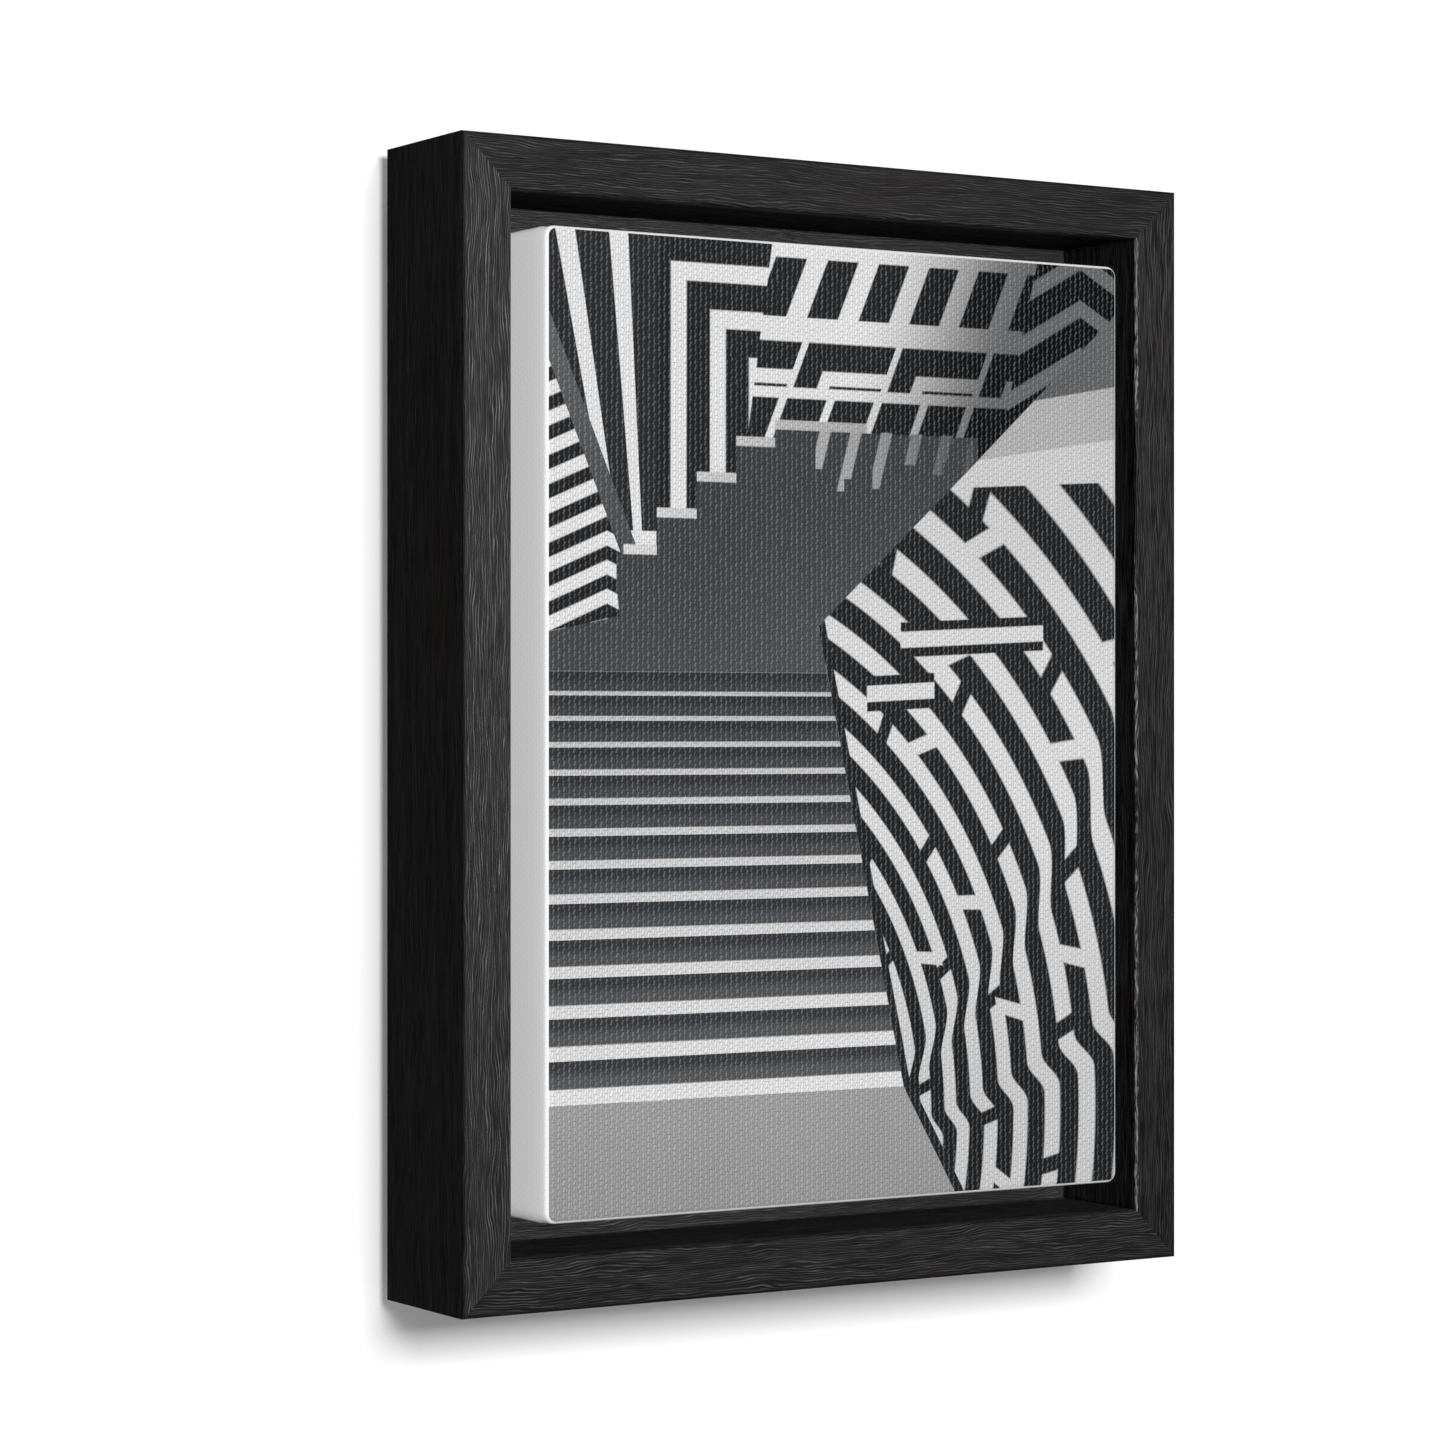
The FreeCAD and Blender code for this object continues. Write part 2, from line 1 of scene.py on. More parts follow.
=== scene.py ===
import math

import bpy
import numpy as np
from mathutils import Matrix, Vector


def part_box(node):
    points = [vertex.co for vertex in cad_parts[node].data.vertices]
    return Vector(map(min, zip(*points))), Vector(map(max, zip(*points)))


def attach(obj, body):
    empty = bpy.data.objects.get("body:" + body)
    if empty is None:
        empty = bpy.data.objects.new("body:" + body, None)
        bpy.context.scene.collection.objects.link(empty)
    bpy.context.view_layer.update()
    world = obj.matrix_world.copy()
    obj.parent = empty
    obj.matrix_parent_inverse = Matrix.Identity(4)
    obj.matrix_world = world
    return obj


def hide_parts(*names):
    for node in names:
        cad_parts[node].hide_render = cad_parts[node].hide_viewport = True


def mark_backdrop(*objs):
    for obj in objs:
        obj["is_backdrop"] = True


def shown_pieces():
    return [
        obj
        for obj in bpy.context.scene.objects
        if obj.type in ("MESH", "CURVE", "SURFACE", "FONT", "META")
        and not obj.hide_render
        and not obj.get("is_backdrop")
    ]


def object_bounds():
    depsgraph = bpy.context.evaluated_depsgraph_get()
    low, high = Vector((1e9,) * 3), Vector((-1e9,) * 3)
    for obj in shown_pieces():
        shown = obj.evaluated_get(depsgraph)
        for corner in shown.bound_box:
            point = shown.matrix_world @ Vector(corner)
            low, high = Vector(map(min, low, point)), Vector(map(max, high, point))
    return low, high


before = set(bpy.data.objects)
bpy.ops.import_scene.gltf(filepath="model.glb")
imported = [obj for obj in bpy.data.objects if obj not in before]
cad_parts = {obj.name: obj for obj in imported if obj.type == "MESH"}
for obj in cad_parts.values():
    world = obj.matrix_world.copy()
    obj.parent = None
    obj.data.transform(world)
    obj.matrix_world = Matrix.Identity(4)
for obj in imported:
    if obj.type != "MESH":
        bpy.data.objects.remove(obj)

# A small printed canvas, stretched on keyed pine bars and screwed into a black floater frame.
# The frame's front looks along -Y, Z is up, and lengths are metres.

MM = 0.001

cad_box = [list(corner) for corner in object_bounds()]
CANVAS_LOW, CANVAS_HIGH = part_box("canvas")
CENTRE_Z = (CANVAS_LOW.z + CANVAS_HIGH.z) / 2
BODY = "framed_canvas"
# A side's number in this order seeds its rail's relief and sets its bar's growth rings.
SIDES = ("bottom", "right", "top", "left")

# The frame's L-shaped section.
FACE_WIDTH = 9.8 * MM
RAIL_LOW, RAIL_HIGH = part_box("frame_rail_left")
RAIL_WIDTH = RAIL_HIGH.x - RAIL_LOW.x
LEDGE_FRONT = CANVAS_HIGH.y
FRONT_ROUND = 0.65 * MM
BACK_ROUND = 0.4 * MM

# The cloth.
CLOTH_THICK = 0.5 * MM
CLOTH_DEPTH = CANVAS_HIGH.y - CANVAS_LOW.y
CLOTH_WIDTH = 127.0 * MM
CLOTH_HEIGHT = 177.8 * MM
EDGE_ROUND = 1.0 * MM
CORNER_ROUND = 2.0 * MM
FLAP_WIDTH = 17.0 * MM

# The print stops this far inside the cloth's edges, and this far round their curve.
PRINT_MARGIN = 0.45 * MM
PRINT_WRAP = 0.55 * MM
WEAVE_PERIOD, STITCH_PERIOD = 1.10 * MM, 1.15 * MM
PRIMER_WHITE = 0.80
PRINT_WHITE, PRINT_DARK = 0.76, 0.016

# The height that each material's bump stands for.
GRAIN_BUMP = 0.16 * MM
WEAVE_BUMP = 0.16 * MM
LIGHT_WOOD_BUMP = 0.12 * MM
METAL_BUMP = 0.03 * MM
RUBBER_BUMP = 0.05 * MM


# ---- node trees ----

class Wire:
    """One value in a material's nodes, which can be added, multiplied and so on like a number."""

    def __init__(self, paint, socket):
        self.paint, self.socket = paint, socket

    def __add__(self, other):
        return self.paint.math("ADD", self, other)

    def __sub__(self, other):
        return self.paint.math("SUBTRACT", self, other)

    def __rsub__(self, other):
        return self.paint.math("SUBTRACT", other, self)

    def __mul__(self, other):
        return self.paint.math("MULTIPLY", self, other)

    def __truediv__(self, other):
        return self.paint.math("DIVIDE", self, other)

    def __pow__(self, other):
        return self.paint.math("POWER", self, other)

    def __abs__(self):
        return self.paint.math("ABSOLUTE", self)

    def __neg__(self):
        return self * -1.0

    __radd__ = __add__
    __rmul__ = __mul__

    def part(self, whole=1.0):
        """What is left over after whole numbers of that length are taken away."""
        return self.paint.math("FLOORED_MODULO", self, whole)

    def floor(self):
        return self.paint.math("FLOOR", self)

    def held(self):
        """The value held between 0 and 1."""
        return self.paint.math("MULTIPLY", self, 1.0, clamp=True)


class Paint:
    """The nodes of one procedural material."""

    def __init__(self, name):
        self.material = bpy.data.materials.new(name)
        self.material.use_nodes = True
        self.tree = self.material.node_tree
        self.tree.nodes.clear()

    def node(self, kind, inputs=None, **settings):
        made = self.tree.nodes.new("ShaderNode" + kind)
        for name, value in settings.items():
            setattr(made, name, value)
        for name, value in (inputs or {}).items():
            self.plug(value, made.inputs[name])
        return made

    def plug(self, value, socket):
        if isinstance(value, Wire):
            self.tree.links.new(value.socket, socket)
        else:
            socket.default_value = value

    def math(self, operation, *values, clamp=False):
        made = self.node("Math", dict(enumerate(values)), operation=operation, use_clamp=clamp)
        return Wire(self, made.outputs[0])

    def least(self, *values):
        found = values[0]
        for value in values[1:]:
            found = self.math("MINIMUM", found, value)
        return found

    def most(self, *values):
        found = values[0]
        for value in values[1:]:
            found = self.math("MAXIMUM", found, value)
        return found

    def above(self, value, soft=0.002):
        """1 where the value is over 0, with a soft edge."""
        return (value / soft + 0.5).held()

    def smooth(self, value, low, high):
        """0 at low and 1 at high, with a smooth turn between them."""
        made = self.node("MapRange", {"Value": value, "From Min": low, "From Max": high},
                         interpolation_type="SMOOTHSTEP")
        return Wire(self, made.outputs[0])

    def over(self, below, top, share):
        """The number below, covered by the number on top where share is 1."""
        return below + (top - below) * share

    def axes(self, attribute=None):
        """The point's three coordinates in mm, from a mesh attribute or from the object's own place."""
        if attribute:
            point = self.node("Attribute", attribute_name=attribute).outputs["Vector"]
        else:
            point = self.node("TexCoord").outputs["Object"]
        split = self.node("SeparateXYZ", {"Vector": Wire(self, point)})
        return [Wire(self, output) / MM for output in split.outputs]

    def number(self, attribute):
        return Wire(self, self.node("Attribute", attribute_name=attribute).outputs["Fac"])

    def point(self, x, y, z=0.0):
        return Wire(self, self.node("CombineXYZ", {"X": x, "Y": y, "Z": z}).outputs[0])

    def noise(self, x, y, z=0.0, detail=2.0, rough=0.5):
        """Noise from about 0 to 1, with lumps about one unit apart."""
        made = self.node("TexNoise", {"Vector": self.point(x, y, z), "Scale": 1.0, "Detail": detail,
                                      "Roughness": rough})
        return Wire(self, made.outputs["Fac"])

    def blend(self, one, other, share):
        """A colour between two colours."""
        made = self.node("Mix", data_type="RGBA")
        share_socket, one_socket, other_socket = made.inputs[0], made.inputs[6], made.inputs[7]
        for value, socket in ((share, share_socket), (one, one_socket), (other, other_socket)):
            self.plug(value if isinstance(value, (Wire, float)) else (*value, 1.0), socket)
        return Wire(self, made.outputs[2])

    def bump(self, height, distance, strength=1.0):
        """A normal from a height of 0 to 1, which stands for that distance in metres."""
        made = self.node("Bump", {"Height": height, "Distance": distance, "Strength": strength})
        return Wire(self, made.outputs[0])

    def surface(self, colour, rough, normal, metal=0.0, gloss=0.5):
        """Ends the tree with one Principled shader, and returns the material."""
        return self.finish(self.node("BsdfPrincipled", {
            "Base Color": colour, "Roughness": rough, "Metallic": metal, "Specular IOR Level": gloss,
            "Normal": normal}))

    def finish(self, shader):
        """Ends the tree with that shader, and returns the material."""
        output = self.node("OutputMaterial")
        self.tree.links.new(shader.outputs[0], output.inputs["Surface"])
        return self.material


# ---- noise for mesh relief ----

LATTICE = 256


def lattice_noise(x, y, seed):
    """Smooth noise from -1 to 1 over arrays of places, with lumps one unit apart."""
    table = np.random.default_rng(seed).uniform(-1, 1, (LATTICE, LATTICE))
    column, row = np.floor(x).astype(int), np.floor(y).astype(int)
    fx, fy = x - column, y - row
    fx, fy = fx * fx * (3 - 2 * fx), fy * fy * (3 - 2 * fy)

    def at(across, up):
        return table[(column + across) % LATTICE, (row + up) % LATTICE]

    low = at(0, 0) * (1 - fx) + at(1, 0) * fx
    high = at(0, 1) * (1 - fx) + at(1, 1) * fx
    return low * (1 - fy) + high * fy


def smooth_step(value, low, high):
    """0 at low and 1 at high over arrays, with a smooth turn between them."""
    share = np.clip((value - low) / (high - low), 0, 1)
    return share * share * (3 - 2 * share)


# ---- meshes ----

def new_piece(name, points, faces, materials, smooth=True, sharp_angle=None):
    mesh = bpy.data.meshes.new(name)
    mesh.from_pydata([tuple(point) for point in points], [], [tuple(face) for face in faces])
    for material in materials:
        mesh.materials.append(material)
    mesh.validate()
    mesh.polygons.foreach_set("use_smooth", [smooth] * len(mesh.polygons))
    if sharp_angle is not None:
        mesh.set_sharp_from_angle(angle=math.radians(sharp_angle))
    mesh.update()
    piece = bpy.data.objects.new(name, mesh)
    bpy.context.scene.collection.objects.link(piece)
    return piece


def set_vectors(piece, name, values):
    attribute = piece.data.attributes.new(name, "FLOAT_VECTOR", "POINT")
    attribute.data.foreach_set("vector", np.asarray(values, np.float32).ravel())


def set_numbers(piece, name, values):
    attribute = piece.data.attributes.new(name, "FLOAT", "POINT")
    attribute.data.foreach_set("value", np.asarray(values, np.float32).ravel())


def grid_faces(index):
    """The four-cornered faces between a grid's points."""
    corners = [index[:-1, :-1], index[:-1, 1:], index[1:, 1:], index[1:, :-1]]
    return np.stack(corners, -1).reshape(-1, 4).tolist()


def apply_modifiers(piece):
    """Turns what the piece's modifiers make into its own mesh."""
    bpy.context.view_layer.update()
    shown = piece.evaluated_get(bpy.context.evaluated_depsgraph_get())
    mesh = bpy.data.meshes.new_from_object(shown)
    piece.modifiers.clear()
    piece.data = mesh


# ---- the frame's rails ----

ARC_STEPS = 5
RAIL_ROW = 1.0 * MM
SCREW_HEAD_RADIUS = 3.3 * MM
COUNTERSINK_RADIUS = 3.6 * MM
SCREW_HOLE_RADIUS = 1.9 * MM
HOLE_SIDES = 40
GRAIN_DEPTH = 0.05 * MM
WEAR_DEPTH = 0.03 * MM
BOARD_OFFSET = 300 * MM
# The distance between two ridges of the grain, in mm, as the material's nodes count.
GRAIN_PITCH = 0.44
# How open each board's grain is, which also sets how strongly its grain crests are painted pale as painted
# highlight, how pale its stain is painted as painted light and shade, and the gloss of its face and of its
# inner wall.
BOARDS = {
    "bottom": (0.48, 1.00, 0.56, 0.03),
    "right": (0.42, 0.78, 0.38, 1.00),
    "top": (0.50, 0.95, 0.62, 0.02),
    "left": (1.00, 0.92, 0.66, 0.60),
}
# How deep and pale each board's inner front edge is painted: abrasion on all four, and on the right board
# painted highlight where light catches the rounded edge. Also the gloss of its outer side and of its ledge.
EDGE_WEAR_AND_HIGHLIGHT = {"bottom": 0.2, "right": 1.0, "top": 0.2, "left": 0.2}
OUTER_SHEEN = 0.22
LEDGE_SHEEN = 2.4


def section_outline(corners):
    """Points round a closed outline. Each corner is (u, y, its round's radius, the next run's spacing)."""
    places = []
    count = len(corners)
    for number, (u, y, radius, spacing) in enumerate(corners):
        here = np.array([u, y])
        before = np.array(corners[number - 1][:2])
        after = np.array(corners[(number + 1) % count][:2])
        arriving = (here - before) / np.linalg.norm(here - before)
        leaving = (after - here) / np.linalg.norm(after - here)
        if radius:
            centre = here - arriving * radius + leaving * radius
            for turn in np.linspace(0, math.pi / 2, ARC_STEPS + 1):
                places.append(centre + radius * (arriving * math.sin(turn) - leaving * math.cos(turn)))
        else:
            places.append(here)
        start = here + leaving * radius
        end = after - leaving * corners[(number + 1) % count][2]
        runs = max(1, round(np.linalg.norm(end - start) / spacing))
        for share in np.arange(1, runs) / runs:
            places.append(start + (end - start) * share)
    return np.array(places)


def rail_section():
    """The rails' L-shaped section. u is the distance in from the frame's outside."""
    low, high = RAIL_LOW.y, RAIL_HIGH.y
    fine, coarse = 0.35 * MM, 0.8 * MM
    return section_outline([
        (0.0, low, FRONT_ROUND, fine),
        (FACE_WIDTH, low, FRONT_ROUND, coarse),
        (FACE_WIDTH, LEDGE_FRONT, 0.0, fine),
        (RAIL_WIDTH, LEDGE_FRONT, BACK_ROUND, coarse),
        (RAIL_WIDTH, high, BACK_ROUND, coarse),
        (0.0, high, BACK_ROUND, fine),
    ])


def side_axes(side):
    """The middle of a side's outer edge, the ways in from it and along it, and its length."""
    low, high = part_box("frame_rail_" + side)
    middle = (low + high) / 2
    origin, inward, along = {
        "bottom": ((middle.x, 0, low.z), (0, 0, 1), (1, 0, 0)),
        "right": ((high.x, 0, middle.z), (-1, 0, 0), (0, 0, 1)),
        "top": ((middle.x, 0, high.z), (0, 0, -1), (-1, 0, 0)),
        "left": ((low.x, 0, middle.z), (1, 0, 0), (0, 0, -1)),
    }[side]
    length = (high.x - low.x) if side in ("bottom", "top") else (high.z - low.z)
    return np.array(origin, float), np.array(inward, float), np.array(along, float), length


def board_sheen(side, u, y, facing_front):
    """How glossy each point of a rail is: its face, its outer side, its inner wall and its ledge."""
    _, _, face_sheen, wall_sheen = BOARDS[side]
    in_recess = (smooth_step(u, FACE_WIDTH - 0.2 * MM, FACE_WIDTH)
                 * (y > RAIL_LOW.y + 3 * MM) * (y < LEDGE_FRONT + 1 * MM))
    at_front = facing_front * (1 - in_recess)
    sheen = OUTER_SHEEN * (1 - in_recess) * (1 - at_front) + face_sheen * at_front
    return sheen + in_recess * (wall_sheen * (1 - facing_front) + LEDGE_SHEEN * facing_front)


def make_rail(side, number, material):
    """A rail with mitred ends and open grain, on its L-shaped section."""
    origin, inward, along, length = side_axes(side)
    outline = rail_section()
    tangent = np.roll(outline, -1, 0) - np.roll(outline, 1, 0)
    tangent /= np.linalg.norm(tangent, axis=1)[:, None]
    normal = np.stack([tangent[:, 1], -tangent[:, 0]], 1)
    round_way = np.concatenate([[0], np.cumsum(np.linalg.norm(np.diff(outline, axis=0), axis=1))])

    rows = round(length / RAIL_ROW) + 1
    reach = length / 2 - outline[:, 0]
    run = np.linspace(-1, 1, rows)[:, None] * reach[None, :]
    around = np.broadcast_to(round_way[None, :], run.shape)
    u = np.broadcast_to(outline[None, :, 0], run.shape)
    y = np.broadcast_to(outline[None, :, 1], run.shape)

    seed = 40 + 10 * number
    drift = 1.6 * MM * lattice_noise(run / (38 * MM), around / (9 * MM), seed)
    lane = (around + drift) / MM
    grooves = (0.6 * lattice_noise(run / (13 * MM), lane / 0.9, seed + 1)
               + 0.4 * lattice_noise(run / (7 * MM), lane / 0.55, seed + 2))
    outer_side = 1 - smooth_step(u, 0.3 * MM, 1.2 * MM)
    back = smooth_step(y, LEDGE_FRONT + 5 * MM, LEDGE_FRONT + 5.8 * MM)
    relief = grooves * (1 - 0.75 * outer_side) * (1 - 0.5 * back)
    facing_front = np.broadcast_to(np.clip(-normal[None, :, 1], 0, 1), run.shape)
    from_outer_edge = np.hypot(u, y - RAIL_LOW.y)
    from_inner_edge = np.hypot(u - FACE_WIDTH, y - RAIL_LOW.y)
    # The inner front edge's dent and pale grey: abrasion, and on the right board painted highlight where
    # light catches the rounded edge.
    wear_and_highlight = 1 - smooth_step(from_inner_edge, 0.32 * MM, 0.80 * MM)
    wear_and_highlight = wear_and_highlight * smooth_step(lattice_noise(run / (14 * MM), lane / 4, seed + 3), -0.9, -0.1)
    wear_and_highlight = wear_and_highlight * EDGE_WEAR_AND_HIGHLIGHT[side]
    # the grain's relief fades near the two front edges, so that they stay straight
    off_edges = smooth_step(np.minimum(from_outer_edge, from_inner_edge), 0.6 * MM, 1.8 * MM)
    push = GRAIN_DEPTH * relief * off_edges - WEAR_DEPTH * wear_and_highlight

    flat_normal = normal[None, :, 0, None] * inward + normal[None, :, 1, None] * np.array([0, 1.0, 0])
    points = (origin + u[..., None] * inward + y[..., None] * np.array([0, 1.0, 0])
              + run[..., None] * along + push[..., None] * flat_normal)

    count = len(outline)
    index = np.arange(rows * count).reshape(rows, count)
    here, ahead = index[:-1], index[1:]
    faces = np.stack([here, ahead, np.roll(ahead, -1, 1), np.roll(here, -1, 1)], -1).reshape(-1, 4).tolist()
    faces.append(index[0].tolist())
    faces.append(index[-1][::-1].tolist())
    piece = new_piece("wood_rail_" + side, points.reshape(-1, 3), faces, [material], sharp_angle=50)
    grain = np.stack([run + BOARD_OFFSET * number, around, np.zeros_like(run)], -1)
    set_vectors(piece, "grain", grain.reshape(-1, 3))
    set_numbers(piece, "relief", relief)
    openness_and_glint, painted_light_paleness, _, _ = BOARDS[side]
    # Closed grain gets weaker pale crests. On the outer side and on every board but the left, this stands in
    # as painted shade.
    set_numbers(piece, "closed_grain_and_shade", 1 - openness_and_glint * (1 - np.maximum(outer_side, 0.5 * back)))
    set_numbers(piece, "sheen", board_sheen(side, u, y, facing_front))
    # Each board's stain paleness is painted light and shade, with the right board painted darkest.
    set_numbers(piece, "painted_light_paleness", np.full_like(run, painted_light_paleness))
    set_numbers(piece, "wear_and_highlight", wear_and_highlight)
    if side in ("left", "right"):
        cut_screw_holes(piece, side)
    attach(piece, BODY)
    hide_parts("frame_rail_" + side)


def cut_screw_holes(piece, side):
    """Cuts a countersunk hole round each of the rail's two screws."""
    low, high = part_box("mounting_screws")
    x = low.x + SCREW_HEAD_RADIUS if side == "left" else high.x - SCREW_HEAD_RADIUS
    profile = (
        (COUNTERSINK_RADIUS + MM, RAIL_HIGH.y + MM),
        (SCREW_HOLE_RADIUS, RAIL_HIGH.y - COUNTERSINK_RADIUS + SCREW_HOLE_RADIUS),
        (SCREW_HOLE_RADIUS, LEDGE_FRONT - MM),
    )
    points, faces = [], []
    for z in (low.z + SCREW_HEAD_RADIUS, high.z - SCREW_HEAD_RADIUS):
        first = len(points)
        for radius, y in profile:
            for turn in range(HOLE_SIDES):
                angle = 2 * math.pi * turn / HOLE_SIDES
                points.append((x + radius * math.cos(angle), y, z + radius * math.sin(angle)))
        for ring in (0, 1):
            for turn in range(HOLE_SIDES):
                ahead = (turn + 1) % HOLE_SIDES
                corners = [(ring, turn), (ring, ahead), (ring + 1, ahead), (ring + 1, turn)]
                faces.append([first + row * HOLE_SIDES + place for row, place in corners])
        faces.append([first + turn for turn in reversed(range(HOLE_SIDES))])
        faces.append([first + 2 * HOLE_SIDES + turn for turn in range(HOLE_SIDES)])
    cutter = new_piece("screw_holes_" + side, points, faces, [], smooth=False)
    cut = piece.modifiers.new("screw_holes", "BOOLEAN")
    cut.object, cut.operation, cut.solver = cutter, "DIFFERENCE", "EXACT"
    apply_modifiers(piece)
    bpy.data.objects.remove(cutter)


def black_wood():
    """Open-grained wood with a black stain: long wavy grooves, fine pores and abraded edges. Its pale grain
    crests are partly painted highlight, the right board's pale inner edge is painted highlight as well as
    abrasion, and each board's stain is painted paler or darker as painted light and shade.
    """
    paint = Paint("black_stained_wood")
    run, lane, _ = paint.axes("grain")
    relief = paint.number("relief")
    closed = paint.number("closed_grain_and_shade")
    open_grain_and_glint = 1.0 - 0.85 * closed
    lane = lane + (paint.noise(run / 24, lane / 7, 1.0, detail=1.0) - 0.5) * 3.4
    lane = lane + (paint.noise(run / 6, lane / 1.8, 2.0, detail=1.0) - 0.5) * 0.7
    phase = lane / GRAIN_PITCH + 1.6 * paint.noise(run / 6, lane / 0.9, 5.0, detail=1.5)
    pores = paint.noise(run / 3.5, lane / 0.2, 9.0, detail=1.0)
    streaks = paint.noise(run / 55, lane / 2.0, 13.0, detail=3.0)
    strength = paint.smooth(paint.noise(run / 8, lane / 0.7, 17.0, detail=1.0), 0.25, 0.70)
    crest = paint.smooth(abs(phase.part() - 0.5), 0.32, 0.06) * strength
    pit = paint.smooth(pores, 0.58, 0.72)
    # Pale grain crests: grain colour and painted highlight, strongest where the grain is most open.
    light = 0.01 + 1.05 * crest * open_grain_and_glint + 0.06 * relief + 0.35 * (streaks - 0.5)
    light = light * (1.0 - 0.6 * pit * open_grain_and_glint)
    # Each board's stain is painted paler or darker as painted light and shade.
    share = (light * paint.number("painted_light_paleness")).held()
    stain = paint.blend((0.0010, 0.0010, 0.0010), (0.058, 0.0575, 0.058), share)
    warm = paint.smooth(paint.noise(run / 70, lane / 4, 21.0), 0.52, 0.70) * closed * 0.4
    stain = paint.blend(stain, (0.012, 0.005, 0.003), warm)
    # A pale grey inner edge: abrasion, and on the right board painted highlight where light catches the
    # rounded edge.
    worn_and_lit = paint.number("wear_and_highlight")
    rub_and_glint = paint.noise(run / 2.4, lane / 0.30, 25.0, detail=3.0, rough=0.6) + 0.20 * worn_and_lit
    wear_and_highlight = paint.smooth(rub_and_glint, 0.58, 0.86) * paint.smooth(worn_and_lit, 0.05, 0.5)
    stain = paint.blend(stain, (0.23, 0.23, 0.23), wear_and_highlight * 0.9)
    height = (crest * 0.8 - pit * 0.25) * open_grain_and_glint + streaks * 0.25
    rough = 0.36 + 0.15 * (1.0 - crest) + 0.15 * pit
    gloss = (0.20 + 0.25 * crest) * paint.number("sheen")
    return paint.surface(stain, rough, paint.bump(height, GRAIN_BUMP), gloss=gloss)


def make_rails():
    material = black_wood()
    for number, side in enumerate(SIDES):
        make_rail(side, number, material)


# ---- the cloth ----

GRID_STEP = 1.2 * MM
SIDE_STEPS = 20
FLAP_STEPS = 14
CURVE_STEPS = 5
# How far the middle sags in from the edges, and how far a corner's fold stands proud.
SLACK = 0.10 * MM
FOLD_PROUD = 0.25 * MM


def grid_places(half):
    """Places from -half to half, close together near both ends."""
    fine = np.linspace(0, CORNER_ROUND - EDGE_ROUND, 4)[1:]
    inside = half - (CORNER_ROUND - EDGE_ROUND)
    even = np.linspace(-inside, inside, 2 * round(inside / GRID_STEP) + 1)
    return np.concatenate([-inside - fine[::-1], even, inside + fine])


def round_corners(x, z, half_x, half_z, radius):
    """Moves a grid's points so that its square corners become round."""
    a, b = np.abs(x) - (half_x - radius), np.abs(z) - (half_z - radius)
    inside = (a > 1e-9) & (b > 1e-9)
    most = np.where(inside, np.maximum(a, b), 1.0)
    turn = np.where(a >= b, b / most, 2 - a / most) * math.pi / 4
    new_a = np.where(inside, most * np.cos(turn), a)
    new_b = np.where(inside, most * np.sin(turn), b)
    return np.sign(x) * (half_x - radius + new_a), np.sign(z) * (half_z - radius + new_b)


def wrap_steps():
    """The cloth's way from the front's rim to the flap's edge. Each step is how far out of the rim and how
    deep it lies, and how much cloth has gone by."""
    quarter = np.linspace(0, math.pi / 2, CURVE_STEPS + 1)[1:]
    steps = []
    for turn in quarter:
        steps.append((EDGE_ROUND * math.sin(turn), EDGE_ROUND * (1 - math.cos(turn)), EDGE_ROUND * turn))
    wrapped = EDGE_ROUND * math.pi / 2
    side_run = CLOTH_DEPTH - EDGE_ROUND - EDGE_ROUND
    for share in np.arange(1, SIDE_STEPS + 1) / SIDE_STEPS:
        steps.append((EDGE_ROUND, EDGE_ROUND + side_run * share, wrapped + side_run * share))
    for turn in quarter:
        steps.append((EDGE_ROUND * math.cos(turn), CLOTH_DEPTH - EDGE_ROUND + EDGE_ROUND * math.sin(turn),
                      wrapped + side_run + EDGE_ROUND * turn))
    turned = 2 * wrapped + side_run
    flap_run = FLAP_WIDTH - EDGE_ROUND
    for share in np.arange(1, FLAP_STEPS + 1) / FLAP_STEPS:
        steps.append((-flap_run * share, CLOTH_DEPTH, turned + flap_run * share))
    return steps


